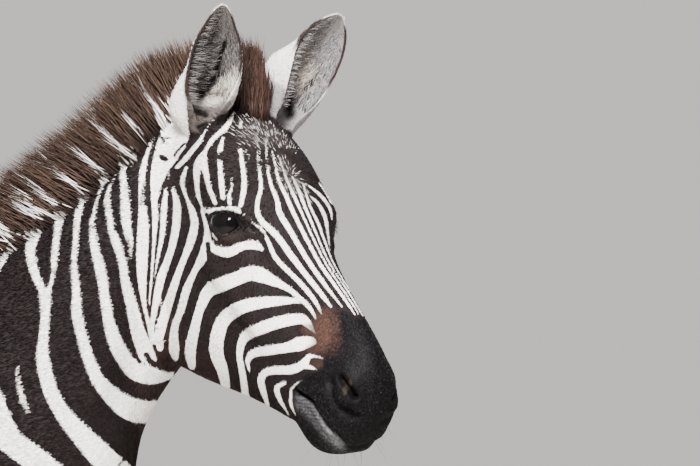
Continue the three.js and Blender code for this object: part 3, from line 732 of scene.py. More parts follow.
# beyond the middle of the nose, where the camera still sees its far half
FAR_NOSE_STRIPES = [
    [(292, 176, 2), (299, 191, 4), (305, 207, 3.7), (314, 228, 3), (324, 252, 2.5), (334, 271, 2),
     (349, 293, 2.2), (363, 316, 1.8)],
    [(303, 184, 2.5), (310, 206, 3), (318, 223, 3.3), (325, 242, 2.8), (332, 260, 1.9),
     (343, 280, 1.8), (356, 299, 1.8), (366, 316, 1.4)],
    [(311, 197, 2), (318, 204, 3.6), (325, 217, 4.6), (328, 235, 2.6), (330, 251, 1)],
    [(309, 186, 2), (321, 196, 4), (330, 209, 3.4), (332, 220, 1.6)],
    [(319, 183, 2), (326, 193, 2.4), (332, 204, 2.5)],
]
CHEEK_STRIPES = [
    [(192, 366, 8), (190.5, 350, 12), (194.5, 330, 10.5), (199, 312, 9.5), (208, 292, 13),
     (220, 285.5, 15), (235, 279.5, 14), (250, 273.5, 15), (260, 275, 15.5), (272, 280.5, 11),
     (290, 290, 6), (309, 307, 5), (316, 319, 2.5)],
    [(226, 386, 9), (222.5, 370, 12), (217, 355, 14), (217, 340, 15), (223, 321, 14), (240, 308, 14),
     (260, 303, 12), (280, 301, 9.5), (294, 301, 6), (301, 303, 2)],
    [(246, 397, 8), (242, 370, 7), (239.5, 355, 7), (244, 338, 10), (260, 329, 12.5),
     (280, 322, 12.5), (300, 319, 11), (308, 324, 8), (315.5, 334, 1.5)],
    [(249.5, 372, 2), (248, 360, 6), (255, 353, 9), (270, 350.5, 10), (290, 347, 11),
     (300, 344, 14.5), (311, 341.5, 10), (315, 342.5, 4)],
    [(268, 405, 4), (264, 393, 6.5), (261, 380, 8), (268, 371.5, 8), (290, 370, 9.5),
     (300, 366.5, 9), (306, 361, 8), (310, 356, 4.5), (323, 358.5, 2)],
    [(303, 366, 6), (309, 367, 5), (318, 370, 1.5)],
    [(289, 415, 1.5), (280, 400, 5), (277, 388, 6), (285, 383, 4)],
    [(291, 390, 2.5), (297, 383.5, 2.5), (303, 380, 1.5)],
    [(291, 391, 3), (291, 404, 4), (296, 416, 1)],
]
EYE_STRIPES = [
    [(210, 242, 5), (214, 249, 8), (228, 252.5, 10.5), (243, 246, 8.5), (256, 245.5, 9),
     (264.5, 252, 1.5)],
    [(211.5, 230, 1.6), (213.5, 236, 2.8), (217, 240, 2.4)],
    [(204, 209, 3), (209, 211.5, 5.5), (220, 209, 4), (231, 208.5, 5), (237, 210, 6), (240, 213, 3)],
]
TEMPLE_STRIPES = [
    [(222, 112, 3), (211, 126, 6), (200, 141, 5), (184, 160, 6), (177, 167, 5)],
    [(234, 113, 3), (226, 127, 6), (214, 138, 5), (203, 152, 7), (197, 168, 8), (197, 187, 5),
     (198, 197, 4)],
    [(241, 121, 3), (240, 127, 4)],
    [(223, 138, 3), (220, 150, 6), (220, 168, 5), (221.5, 184, 6), (223, 198, 5)],
    [(205, 171, 5), (209, 188, 5), (215, 203, 5)],
    [(231, 178, 2), (231.5, 188, 2.5), (229, 196, 4), (230, 204, 4.5)],
    [(240, 150, 5), (243, 170, 5), (244, 188, 6), (240.5, 206, 5)],
    [(246, 150, 2), (249, 158, 1.5), (250, 168, 1)],
]
BEHIND_CHEEK = [
    [(196, 180, 5), (199.5, 200, 3.5), (204.5, 220, 4), (207, 230, 6), (207, 240, 8), (203, 250, 6),
     (202, 259, 10), (195, 271, 6.5), (186.5, 290, 8.5), (181, 310, 8), (174.5, 328, 8),
     (174, 348, 11), (175.5, 358, 7)],
    [(187, 168, 5), (182, 182, 5), (187, 199, 3.5), (192, 211, 7), (194.5, 224, 8.5), (191, 241, 9),
     (183.5, 260, 7), (176, 280, 8), (169.5, 300, 9.5), (163, 321, 10.5), (159, 339, 9.5),
     (160, 349, 6)],
    [(173, 188, 2.5), (177, 206, 8), (175.5, 230, 8.5), (169.5, 255, 7.5), (161, 278, 9),
     (156, 302, 7.5), (152.5, 321, 5.5), (152, 333, 5), (155, 343, 4)],
    [(166, 190, 4), (164, 207, 6.5), (162, 236, 5.5), (158, 256, 3.5), (154.5, 278, 1.5)],
    [(154, 196, 7), (155, 220, 6), (153.5, 248, 3.5), (151.5, 276, 3), (149, 305, 2)],
    [(172, 118, 26), (172, 135, 34), (168, 150, 26), (162, 168, 22), (157, 184, 14), (155, 196, 8)],
]
NECK_STRIPES = [
    [(-12, 195, 6), (-2, 220, 8), (6, 235, 9), (9, 246, 8), (3, 255, 9), (-12, 285, 9)],
    [(-14, 270, 9), (-20, 290, 10), (-20, 330, 11), (-16, 370, 14), (-8, 400, 24), (0, 428, 30),
     (12, 443, 25), (40, 464, 26), (80, 500, 26), (115, 540, 20)],
    [(17, 366, 1.5), (17.5, 378, 4), (22, 400, 6), (28, 413, 2.5)],
    [(28, 195, 5), (34, 215, 9), (34, 232, 12), (30, 252, 10), (34, 272, 9.5), (42, 290, 8),
     (44.5, 295, 12), (45, 315, 9.5), (43, 340, 10), (42.5, 360, 13.5), (50, 390, 15),
     (61.5, 412, 16), (78, 432, 20), (99, 454, 25), (128, 480, 24)],
    [(60, 212, 10), (56.5, 235, 7), (54, 262, 7), (53.5, 272, 4), (49, 290, 5)],
    [(81, 193, 12), (80, 203, 8), (77, 220, 7), (74.5, 250, 5.5), (73.5, 265, 6.5), (76, 290, 8.5),
     (76.5, 314, 10.5), (82, 338, 11), (89, 361, 11.5), (99, 382, 14), (114, 398, 19),
     (124, 406, 22), (136, 411, 24), (148, 412, 22), (158, 408, 16)],
    [(103, 176, 9), (101, 186, 5), (98, 196, 2.5), (93, 216, 4), (91.5, 228, 6), (95, 250, 9),
     (101, 274, 10.5), (105, 300, 10), (109.5, 325, 12), (117, 347, 15), (131, 368, 17),
     (142, 374, 19), (155, 376, 17), (168, 374, 12)],
    [(118, 168, 1), (113, 180, 1.5), (108.5, 190, 4), (107, 203, 6), (111, 228, 7), (115, 240, 9),
     (122, 262, 8), (125.5, 284, 9.5), (132, 308, 12), (138, 332, 15), (146, 353, 17),
     (150, 360, 14)],
    [(122, 156, 10), (122, 168, 6.5), (124.5, 196, 8.5), (126, 222, 10), (130, 244, 5),
     (129.5, 260, 1)],
    [(138, 134, 9), (135, 143, 5), (132, 160, 3.5), (131, 168, 1.5)],
    [(155, 130, 4), (149, 151, 6), (142.5, 173, 7.5), (142.5, 205, 8), (143, 230, 12),
     (142, 256, 12), (142, 280, 9.5), (144, 304, 5), (147, 318, 4), (152, 342, 4)],
]
MANE_STREAKS = [
    [(-10, 226, 2), (0, 237, 5), (10, 246, 8)],
    [(8, 186, 1.5), (22, 205, 4), (37, 227, 8)],
    [(29, 179, 1.5), (45, 195, 4), (60, 208, 7.5)],
    [(50, 162, 1.5), (65, 176, 4), (81, 191, 8)],
    [(69, 142, 1.5), (86, 158, 4), (104, 174, 8)],
    [(93, 117, 1.5), (108, 135, 4.5), (122, 152, 8)],
    [(124, 115, 1.5), (134, 124, 4), (143, 134, 7)],
    [(146, 94, 1.5), (152, 102, 3.5), (159, 113, 6)],
]
EAR_FOOT = [
    [(184, 88, 8), (176, 104, 22), (173, 118, 30), (172, 130, 28)],
    [(205, 148, 4), (203, 158, 8), (204, 168, 8), (208, 178, 4)],
]

# %% Dark strokes laid over the white
DARK_STROKES = [
    [(157, 126, 2), (156, 138, 4), (149.5, 160, 3.5), (147, 182, 4), (146.5, 196, 5), (146, 204, 4)],
    [(185, 143, 1.5), (178, 150, 1.5), (174, 156, 1.5)],
    [(205, 123, 4), (196, 137, 3), (186, 152, 2.5), (170, 171, 2.5), (160, 192, 2)],
    [(222, 114, 6), (210, 130, 6), (203, 146, 5), (193, 160, 3.5), (188.5, 178, 5), (190, 190, 6),
     (198, 208, 6)],
    [(238, 115, 5), (230, 135, 5), (227.5, 145, 5)],
    [(224, 156.5, 11), (234, 156.5, 11)],
    [(160, 156, 2.5), (163, 158, 5), (167, 160, 3)],
    [(158, 125, 2), (160, 135, 2), (164, 143, 2)],
    [(165, 138, 1.5), (171, 138.5, 1.5)],
    [(166, 112, 2), (170, 120, 2), (173, 122, 1.5)],
    [(146, 355, 5), (152, 363, 5), (168, 370, 5), (181, 364, 5)],
    [(208, 244, 4), (209, 257, 4), (211, 262, 4)],
    [(118, 466, 1.5), (132, 450, 1.5)],
    [(133, 442, 1.5), (137, 455, 1.5)],
    [(207, 203, 1.5), (207, 209, 1.5)],
    [(225, 202, 1.5), (225, 208, 1.5)],
    [(236, 202, 1.5), (236, 207, 1.5)],
    [(228, 218, 14), (240, 222, 12), (252, 230, 8), (263, 236, 4)],
]
# a painted highlight along the fold of the upper lid, laid as a white stroke
LID_FOLD_HIGHLIGHT = [[(241, 213, 0.8), (251, 221, 1.1), (261, 230, 2)]]
WHITE_STROKES = (NOSE_STRIPES + FAR_NOSE_STRIPES + CHEEK_STRIPES + EYE_STRIPES + TEMPLE_STRIPES
                 + BEHIND_CHEEK + NECK_STRIPES + MANE_STREAKS + EAR_FOOT)
print(len(WHITE_STROKES), "white strokes,", len(DARK_STROKES), "dark ones")

# %% [markdown]
# A stroke's field is half its width less the distance from its line: positive inside, zero on
# the edge. The highest of all the white fields, cut by the dark ones, is one number that says
# how deep a place lies in white hair. It is worked out once on a fine sheet of places in the
# camera's plane, and read from there for every root of every tuft.

# %% The drawn field
SHEET_X, SHEET_Y, SHEET_STEP = (-60, 420), (70, 560), 0.5
FIELD_REACH = 12.0

sheet_x = np.arange(*SHEET_X, SHEET_STEP)
sheet_y = np.arange(*SHEET_Y, SHEET_STEP)


def field_of(strokes):
    """The highest field of some strokes on the sheet."""
    field = np.full((len(sheet_y), len(sheet_x)), -FIELD_REACH)
    for stroke in strokes:
        line = through(stroke, 3)
        for a, b in zip(line[:-1], line[1:]):
            margin = max(a[2], b[2]) / 2 + FIELD_REACH
            x0, x1 = np.searchsorted(sheet_x, (min(a[0], b[0]) - margin,
                                               max(a[0], b[0]) + margin))
            y0, y1 = np.searchsorted(sheet_y, (min(a[1], b[1]) - margin,
                                               max(a[1], b[1]) + margin))
            x, y = np.meshgrid(sheet_x[x0:x1], sheet_y[y0:y1])
            way = (b - a)[:2]
            t = ((x - a[0]) * way[0] + (y - a[1]) * way[1]) / (way @ way + 1e-9)
            t = np.clip(t, 0, 1)
            away = np.hypot(x - a[0] - t * way[0], y - a[1] - t * way[1])
            part = (a[2] + t * (b[2] - a[2])) / 2 - away
            field[y0:y1, x0:x1] = np.maximum(field[y0:y1, x0:x1], part)
    return field


def read_sheet(field, pixels):
    """The sheet's value at each pixel place, between its four nearest points."""
    x = np.clip((pixels[:, 0] - SHEET_X[0]) / SHEET_STEP, 0, len(sheet_x) - 1.001)
    y = np.clip((pixels[:, 1] - SHEET_Y[0]) / SHEET_STEP, 0, len(sheet_y) - 1.001)
    i, j = x.astype(int), y.astype(int)
    u, v = x - i, y - j
    return ((field[j, i] * (1 - u) + field[j, i + 1] * u) * (1 - v)
            + (field[j + 1, i] * (1 - u) + field[j + 1, i + 1] * u) * v)


near_field = np.minimum(field_of(WHITE_STROKES), -field_of(DARK_STROKES))
near_field = np.maximum(near_field, field_of(LID_FOLD_HIGHLIGHT))
tell("drawn field:", near_field.shape)

# %% [markdown]
# ## Stripes of the body
# Below and behind the neck the stripes follow a simple rule, the way they do on a plains zebra:
# upright bands down the flank that widen towards the rear, a forward sweep over the breast, bands
# that fan round the flank and run back over the haunch, level bands down the legs, narrower and
# narrower, a pale belly and a dark line along the spine. The bands are turns of one phase.

# %% Body stripes
BAND_X = [-330, -150, 60, 250, 420, 520]
BAND_STEP = [76, 72, 62, 52, 46, 44]  # millimetres from one band to the next
HAUNCH_PIVOT = (-330, 640)
HAUNCH_TURNS = 4.4  # bands in one radian
FRONT_BANDS = ([60, 300, 500, 800], [24, 28, 33, 44])  # height, step
HIND_BANDS = ([60, 300, 520, 760], [25, 29, 36, 58])

steps_x = np.arange(-1100.0, 700.0, 2.0)
turns_x = np.cumsum(2.0 / np.interp(steps_x, BAND_X, BAND_STEP))


def turns_down(z, bands):
    """How many bands lie between the floor and a height."""
    heights = np.arange(0.0, 1300.0, 2.0)
    return np.interp(z, heights, np.cumsum(2.0 / np.interp(heights, *bands)))


def wavy(x, z, long, seed):
    """A slow wander between -1 and 1 over the side of the animal."""
    return (np.sin(x / long + 1.7 * seed) * np.cos(z / long * 1.3 + seed)
            + 0.6 * np.sin((x + z) / long * 1.9 + 2.3 * seed)) / 1.6


def body_stripes(at):
    """Signed distance from a stripe's edge in millimetres for rows of x, y, z."""
    x, y, z = at[:, 0], abs(at[:, 1]), at[:, 2]
    side = np.sign(at[:, 1])
    sweep = 0.85 * smoothstep(180, 430, x) * np.clip(1180 - z, 0, 420)
    at_x = x - sweep + 11 * wavy(x, z, 95 + 9 * side, 1) + 4 * wavy(x, z, 31, 2)
    flank = np.interp(at_x, steps_x, turns_x)
    back, rise = HAUNCH_PIVOT[0] - x, z - HAUNCH_PIVOT[1]
    angle = np.arctan2(back, np.maximum(rise, 1)) + 0.09 * wavy(x, z, 80, 3)
    start = np.interp(HAUNCH_PIVOT[0], steps_x, turns_x)
    haunch = start - angle * HAUNCH_TURNS
    wander = 7 * wavy(x, z, 60, 4) + 5 * side
    fore = turns_down(z + wander + 0.25 * (x - 270), FRONT_BANDS)
    hind = turns_down(z + wander - 0.35 * (x + 640), HIND_BANDS)

    def band(turns, step, dark):
        return (np.cos(2 * np.pi * turns) - dark) * step / 6

    rear = smoothstep(-310, -350, x)
    trunk_step = np.interp(x, BAND_X, BAND_STEP)
    field = band(flank, trunk_step, 0.18)
    field += rear * (band(haunch, 74, 0.12) - field)
    low_fore = smoothstep(830, 740, z) * (x > 0)
    low_hind = smoothstep(800, 690, z) * (x < 0)
    field += low_fore * (band(fore, 32, 0.1) - field)
    field += low_hind * (band(hind, 34, 0.05) - field)
    belly = smoothstep(930, 850, z) * smoothstep(95, 40, y) * (z > 700)
    inner_leg = smoothstep(92, 70, y) * smoothstep(760, 700, z)
    field += 9 * belly + 7 * inner_leg
    spine = smoothstep(26, 12, y) * smoothstep(1130, 1170, z) * smoothstep(240, 150, x)
    field += spine * (-8 - field)
    tail = smoothstep(-770, -800, x) * smoothstep(700, 760, z) * smoothstep(60, 45, y)
    field += tail * (band(z / 27, 27, 0.1) - field)
    return field


print("bands from breast to tail:", round(float(turns_x[-1]), 1))

# %% One stripe value for any place
DRAWN_IN = 0.55  # white hairs lie over the dark at an edge, so the drawn stripes are narrowed


def near_side(points):
    """Points of the head and of the neck as their twins on the right side."""
    local, body = to_head(points), to_body(points)
    local[:, 1] = -abs(local[:, 1])
    body[:, 1] = -abs(body[:, 1])
    return head_to_scene(local), SHIFT_AT + body * MM


def stripe_at(points, out):
    """Signed distance from the nearest stripe edge, millimetres; positive in white hair."""
    head_twin, neck_twin = near_side(points)
    body = to_body(points)
    share = head_share(points)
    by_head = read_sheet(near_field, to_pixels(head_twin))
    seen = smoothstep(-0.2, -0.05, (out * unit(np.array(camera_at) - points)).sum(1))
    seen *= (to_head(points)[:, 1] > 0) * share
    by_head += seen * (read_sheet(near_field, to_pixels(points)) - by_head)
    by_neck = read_sheet(near_field, to_pixels(neck_twin))
    drawn = (by_neck + share * (by_head - by_neck)) / PIXELS_PER_MM - DRAWN_IN
    plain = body_stripes(body)
    keep = np.maximum(smoothstep(335, 395, body[:, 0]) * smoothstep(1035, 1095, body[:, 2]),
                      share)
    return plain + keep * (drawn - plain)


points = points_of(skin_mesh)
stripe = stripe_at(points, normals_of(skin_mesh))
print("white share of the skin:", round(float((stripe > 0).mean()), 2))

# %% [markdown]
# ## Colours by place
# Every place on the skin has a pale colour and a deep one; the stripe value picks between them.
# Over most of the animal they are warm white and brown black. On the muzzle, the lids and the
# ears both turn to the colour of that part, so the stripes fade out there without an edge. The
# same two colours go to the skin and to each tuft, so the coat and the skin under it agree.

# %% Colours


def paint(red, green, blue):
    """A screen colour as the linear values a shader takes."""
    screen = np.array((red, green, blue)) / 255
    return np.where(screen <= 0.04045, screen / 12.92, ((screen + 0.055) / 1.055) ** 2.4)


WHITE_HAIR, DARK_HAIR = paint(250, 245, 239), paint(26, 20, 20)
# dark hair under the jaw: its own brown with painted shade
JAW_BROWN_SHADE = paint(42, 29, 25)
MUZZLE, MUZZLE_DARK = paint(9, 7, 8), paint(5, 4, 5)
MUZZLE_FLECK = paint(66, 60, 62)
# painted highlight on the lower lip
LIP_HIGHLIGHT_PAINT = paint(106, 104, 107)
NOSE_PATCH = paint(60, 42, 35)
NOSTRIL_FLESH = paint(44, 38, 30)
LOWER_LID = paint(32, 25, 23)
FOREHEAD_PALE, FOREHEAD_DARK = paint(140, 133, 130), paint(44, 38, 38)
LID = paint(16, 12, 12)
EAR_BACK, EAR_TIP = paint(226, 221, 217), paint(44, 34, 31)
# the near ear's lining is painted darker than the far ear's: its grey hair with painted shade
NEAR_EAR_INSIDE_SHADED, FAR_EAR_INSIDE = paint(106, 101, 99), paint(142, 137, 137)
# painted shade for the folds in the ears' cups, and the cream of their down
EAR_FOLD_SHADE, EAR_CREAM = paint(15, 11, 11), paint(206, 196, 184)
EAR_FOOT_GREY = paint(84, 77, 73)

MUZZLE_EDGE = [(371, 322), (355, 316), (342, 311), (331, 310), (321, 316), (317, 326),
               (317, 345), (323, 357), (322, 369), (309, 372), (300, 378), (294, 386),
               (293, 394), (294, 402), (296, 412), (298, 420), (300, 440), (330, 475),
               (400, 470), (420, 400), (400, 340)]
# the lower lip's painted highlight runs along this line
LIP_HIGHLIGHT_LINE = [(301, 402), (310, 409), (320, 420), (330, 432), (340, 442)]
# painted shade: dark wrinkle lines across the lip's painted highlight
LIP_WRINKLE_STEP = 3.4  # pixels from one wrinkle to the next
# brown patches: centre and half sizes in pixels, then how strong each is
PATCHES = [((321, 331, 10, 21), 0.8), ((329, 322, 11, 16), 0.45), ((331, 338, 11, 17), 0.3),
           ((309, 329, 8, 6), 0.7), ((313, 349, 8, 5), 0.6), ((317, 363, 6, 5), 0.5)]
FLESH_SPOTS = [(345, 390, 2.2, 4.5), (350, 383, 1.8, 3.5)]
# painted shade in the top of the nostril's slit: centre and half sizes in pixels
NOSTRIL_TOP_SHADE = (342.5, 380.5, 3, 5)
UNDER_EYE = (229, 238, 17, 5)
FOREHEAD = [(296, 156, 17, 40), (262, 132, 24, 16)]
# painted shade along the deep folds in the ears' cups, with half widths, and their creamy strands
EAR_FOLD_SHADOWS = [(3.5, [(225, 44), (221, 56), (217, 68)]), (5, [(217, 68), (209, 82), (200, 97)]),
             (4, [(210, 80), (224, 77)]), (6, [(289, 100), (290, 114)]),
             (3, [(305, 92), (312, 84)]), (3.5, [(196, 111), (206, 115)]),
             (3.5, [(199, 127), (207, 124)])]
EAR_CREAMS = [(223, 93, 15, 8), (211, 101, 9, 6), (233, 88, 8, 12), (303, 82, 12, 16),
              (300, 56, 6, 8)]
# the ear's hollow runs on down its foot, inside this line
FAR_EAR_FOOT = [(262, 84), (300, 88), (314, 112), (292, 126), (281, 124), (270, 108)]
EAR_FOOT_FRONT = [(186, 90), (188, 112), (191, 131), (197, 132), (204, 126), (214, 118),
                  (226, 111), (238, 97), (242, 76), (232, 76), (220, 90)]
# the soft crease between the nostril and its wing
NOSTRIL_SHADE = [(334, 392), (336, 400), (342, 408), (352, 414)]
ear_tree = distance_tree(ear_points)


def in_ellipse(pixels, spot):
    """1 in the middle of an ellipse, 0 well outside it."""
    x, y, half_x, half_y = spot
    reach = np.hypot((pixels[:, 0] - x) / half_x, (pixels[:, 1] - y) / half_y)
    return smoothstep(1.35, 0.6, reach)


def ear_place(points):
    """For each point: how much it belongs to an ear, height up it, place round it, inside."""
    found = np.zeros((len(points), 4))
    local = to_head(points)
    for i in np.flatnonzero((local[:, 2] > -20) & (abs(local[:, 0]) < 110)
                            & (abs(local[:, 1]) > 10)):
        _, k, away = ear_tree.find(points[i])
        found[i] = (away / MM, *ear_marks[k, 1:])
        found[i, 0] = 1 if away < 3.5 * MM else max(0.0, 1 - (away / MM - 3.5) / 6)
    found[:, 0] *= smoothstep(0.12, 0.24, found[:, 1])
    return found


def ear_lining(points):
    """The ear's inside: grey down, cream low in the cup, painted shade in its folds and on the near
    ear.
    """
    pixels = to_pixels(points)
    # the near ear's lining carries painted shade; the far ear's is lighter
    far = smoothstep(-5, 5, to_head(points)[:, 1])[:, None]
    colour = NEAR_EAR_INSIDE_SHADED + far * (FAR_EAR_INSIDE - NEAR_EAR_INSIDE_SHADED)
    for spot_at in EAR_CREAMS:
        colour = colour + 0.8 * in_ellipse(pixels, spot_at)[:, None] * (EAR_CREAM - colour)
    low = smoothstep(103, 113, pixels[:, 1])[:, None] * (1 - far)
    colour = colour + low * (EAR_FOOT_GREY - colour)
    # painted shade along the folds of the cup
    for wide, line in EAR_FOLD_SHADOWS:
        fold = np.exp(-(reach_of(pixels, line) / wide) ** 4)
        colour = colour + fold[:, None] * (EAR_FOLD_SHADE - colour)
    return colour


def colours_at(points, ear, gap):
    """Pale colour, deep colour and gloss of each point."""
    head_twin, _ = near_side(points)
    pixels = to_pixels(head_twin)
    local, body = to_head(points), to_body(points)
    share = head_share(points)
    count = len(points)
    pale, deep = np.tile(WHITE_HAIR, (count, 1)), np.tile(DARK_HAIR, (count, 1))
    gloss = np.zeros(count)

    def lay(weight, pale_paint, deep_paint):
        pale[:] += weight[:, None] * (pale_paint - pale)
        deep[:] += weight[:, None] * (deep_paint - deep)

    # under the jaw's edge the white is painted a little darker and the dark hair browner: painted
    # shade with the hair's own brown
    lay(smoothstep(-175, -235, local[:, 2]) * share * 0.6, WHITE_HAIR * 0.95, JAW_BROWN_SHADE)
    for patch in FOREHEAD:
        lay(in_ellipse(pixels, patch) * share * 0.75, FOREHEAD_PALE, FOREHEAD_DARK)
    lay(smoothstep(120, 70, body[:, 2]) * (1 - share), WHITE_HAIR * 0.8, DARK_HAIR)
    muzzle = smoothstep(2.5, -3.5, signed_reach(pixels, MUZZLE_EDGE))
    muzzle *= smoothstep(250, 290, local[:, 0]) * share
    lay(muzzle, MUZZLE, MUZZLE_DARK)
    gloss += 0.6 * muzzle
    # a painted highlight along the lower lip just below the mouth line, weaker towards the corner,
    # with its gloss lowered
    lip_x, lip_y = np.array(MOUTH_LINE).T
    below = smoothstep(0, 1.5, pixels[:, 1] - np.interp(pixels[:, 0], lip_x, lip_y))
    lip_highlight = below * np.exp(-(reach_of(pixels, LIP_HIGHLIGHT_LINE) / 6.5) ** 2)
    lip_highlight *= share * (local[:, 0] > 380) * smoothstep(8, -4, local[:, 1])
    gloss -= 0.5 * lip_highlight
    corner = smoothstep(331, 314, pixels[:, 0])
    lay((0.9 - 0.45 * corner) * lip_highlight, LIP_HIGHLIGHT_PAINT, LIP_HIGHLIGHT_PAINT)
    # painted shade of the wrinkles' creases, as dark lines across the painted highlight near the
    # corner
    wrinkle_shade = np.sin((pixels[:, 1] - 0.15 * pixels[:, 0]) * 2 * math.pi / LIP_WRINKLE_STEP)
    lay(0.75 * corner * lip_highlight * smoothstep(0.0, 0.8, wrinkle_shade), LID, LID)
    for patch, strong in PATCHES:
        brown = strong * in_ellipse(pixels, patch) * share * (local[:, 0] > 240)
        lay(brown, NOSE_PATCH, NOSE_PATCH)
        gloss *= 1 - 0.7 * brown
    on_muzzle = share * (local[:, 0] > 380)
    for spot_at in FLESH_SPOTS:
        lay(0.8 * in_ellipse(pixels, spot_at) * on_muzzle * (local[:, 1] < 0),
            NOSTRIL_FLESH, NOSTRIL_FLESH)
    # painted shade in the top of the nostril's slit
    lay(0.9 * in_ellipse(pixels, NOSTRIL_TOP_SHADE) * on_muzzle, LID * 0.5, LID * 0.5)
    lay(0.95 * np.exp(-(reach_of(pixels, NOSTRIL_SHADE) / 5.5) ** 2) * on_muzzle,
        MUZZLE_DARK * 0.4, MUZZLE_DARK * 0.4)
    folded = one_side(local)
    # painted shade along the mouth's groove and down the nostril's slit
    groove = np.maximum(np.exp(-(reach_of(folded, mouth) / 2.6) ** 2),
                        np.exp(-(reach_of(folded, slit) / 3.0) ** 2))
    lay(0.9 * groove * on_muzzle, LID * 0.5, LID * 0.5)
    gloss *= 1 - 0.8 * np.exp(-(reach_of(folded, slit) / 12) ** 2)
    under_eye = in_ellipse(pixels, UNDER_EYE) * share * (gap < 12)
    lay(under_eye, WHITE_HAIR * 0.8, LOWER_LID)
    belongs, height, around, inside = ear.T
    band = smoothstep(0.64, 0.7, height) * smoothstep(0.94, 0.88, height)
    outside = EAR_BACK + band[:, None] * (EAR_TIP - EAR_BACK)
    lay(belongs * (1 - inside), outside, outside)
    within = ear_lining(points)
    lay(belongs * inside, within, within)
    by_root = np.minimum(np.linalg.norm(local - EAR_ROOT[-1], axis=1),
                         np.linalg.norm(local - EAR_ROOT[1], axis=1))
    foot = smoothstep(1.5, -1.5, signed_reach(pixels, EAR_FOOT_FRONT))
    foot *= smoothstep(62, 52, by_root) * smoothstep(0.4, 0.3, height) * share
    lay(foot * (1 - belongs * inside), within, within)
    far_foot = smoothstep(1.5, -1.5, signed_reach(to_pixels(points), FAR_EAR_FOOT))
    far_foot *= smoothstep(72, 62, by_root) * (local[:, 1] > 24) * (local[:, 2] > -20) * share
    lay(far_foot * (1 - belongs), within, within)
    # the dark rim starts low on the near ear's left rim and higher on the other rims
    start = np.where(around > 0, np.where(local[:, 1] < 0, 0.06, 0.56), 0.36)
    rim = smoothstep(0, 0.12, height - start) * smoothstep(0.97, 0.9, height)
    lay(belongs * rim * smoothstep(0.84, 0.9, abs(around)), EAR_TIP, EAR_TIP)
    folded_eye = in_eye_plane(folded)
    over_eye = smoothstep(-4, 6, folded_eye[:, 1] - in_eye_plane(opening)[:, 1].mean())
    lid = smoothstep(2.4 + 1.6 * over_eye, 0.9 + 1.4 * over_eye, gap)
    lay(lid, LID, LID)
    gloss = np.maximum(gloss, lid)
    return pale, deep, gloss


ear_of_skin = ear_place(points)
pale, deep, gloss = colours_at(points, ear_of_skin, lid_gap)


def give(mesh, name, kind, values):
    """Stores one value for each point of a mesh."""
    field = {"FLOAT": "value", "FLOAT_COLOR": "color", "FLOAT_VECTOR": "vector",
             "FLOAT2": "vector", "INT": "value"}[kind]
    values = np.asarray(values)
    if kind == "FLOAT_COLOR":
        values = np.hstack([values, np.ones((len(values), 1))])
    made = mesh.attributes.new(name, kind, "POINT")
    made.data.foreach_set(field, values.astype(np.int32 if kind == "INT" else np.float32).ravel())


give(skin_mesh, "stripe", "FLOAT", stripe)
give(skin_mesh, "pale", "FLOAT_COLOR", pale)
give(skin_mesh, "deep", "FLOAT_COLOR", deep)
give(skin_mesh, "gloss", "FLOAT", gloss)
# the skin between the tufts is painted a little darker than the tufts on average: painted shade under
# the hair
give(skin_mesh, "shade", "FLOAT", np.full(len(points), 0.35))
tell("ear points:", int((ear_of_skin[:, 0] > 0.5).sum()),
     "muzzle points:", int((gloss > 0.4).sum()))

# %% [markdown]
# ## Finishes
# Short hair lies flat and scatters light softly; it shines a little more on the muzzle, where
# it is finest. The edge of a stripe is never clean: single hairs of one colour lie over the
# other, so the stripe value is roughened by a fine noise before it picks its colour. Locks of
# long hair also change colour along their length, and eyes and horn have finishes of their own.

# %% Shader helpers


def feed(tree, socket, value):
    """Links another node's socket to this one, or sets a plain value."""
    if isinstance(value, bpy.types.NodeSocket):
        tree.links.new(value, socket)
    else:
        socket.default_value = value


def node(tree, kind, inputs=(), **settings):
    """A node with its settings; inputs are values, or sockets to link from."""
    made = tree.nodes.new(kind)
    for name, value in settings.items():
        setattr(made, name, value)
    for key, value in dict(inputs).items():
        feed(tree, made.inputs[key], value)
    return made


def attribute(tree, name, socket="Fac"):
    """What the mesh stores under a name: a number from Fac, a colour from Color."""
    return node(tree, "ShaderNodeAttribute", attribute_name=name).outputs[socket]


def mixed(tree, share, a, b, blend="MIX"):
    """Two colours mixed: the sockets of a colour mix are numbered, not named."""
    made = node(tree, "ShaderNodeMix", data_type="RGBA", blend_type=blend)
    for slot, value in ((0, share), (6, a), (7, b)):
        feed(tree, made.inputs[slot], value)
    return made.outputs[2]


def ramp(tree, value, low, high, out_low=0.0, out_high=1.0, soft=True):
    return node(tree, "ShaderNodeMapRange",
                {"Value": value, "From Min": low, "From Max": high, "To Min": out_low,
                 "To Max": out_high},
                interpolation_type="SMOOTHSTEP" if soft else "LINEAR").outputs["Result"]


def arithmetic(tree, operation, a, b):
    return node(tree, "ShaderNodeMath", {0: a, 1: b}, operation=operation).outputs[0]


def noise(tree, scale, detail=2.0):
    place = node(tree, "ShaderNodeTexCoord").outputs["Object"]
    return node(tree, "ShaderNodeTexNoise",
                {"Vector": place, "Scale": scale, "Detail": detail}).outputs["Fac"]


def new_material(name, **constants):
    material = bpy.data.materials.new(name)
    material.use_nodes = True
    shader = material.node_tree.nodes["Principled BSDF"]
    for key, value in constants.items():
        shader.inputs[key.replace("_", " ")].default_value = value
    return material, material.node_tree, shader


# %% The coat's finish
EDGE_RAGGED = 1.8  # millimetres a stripe's edge wanders
EDGE_SOFT = 0.35

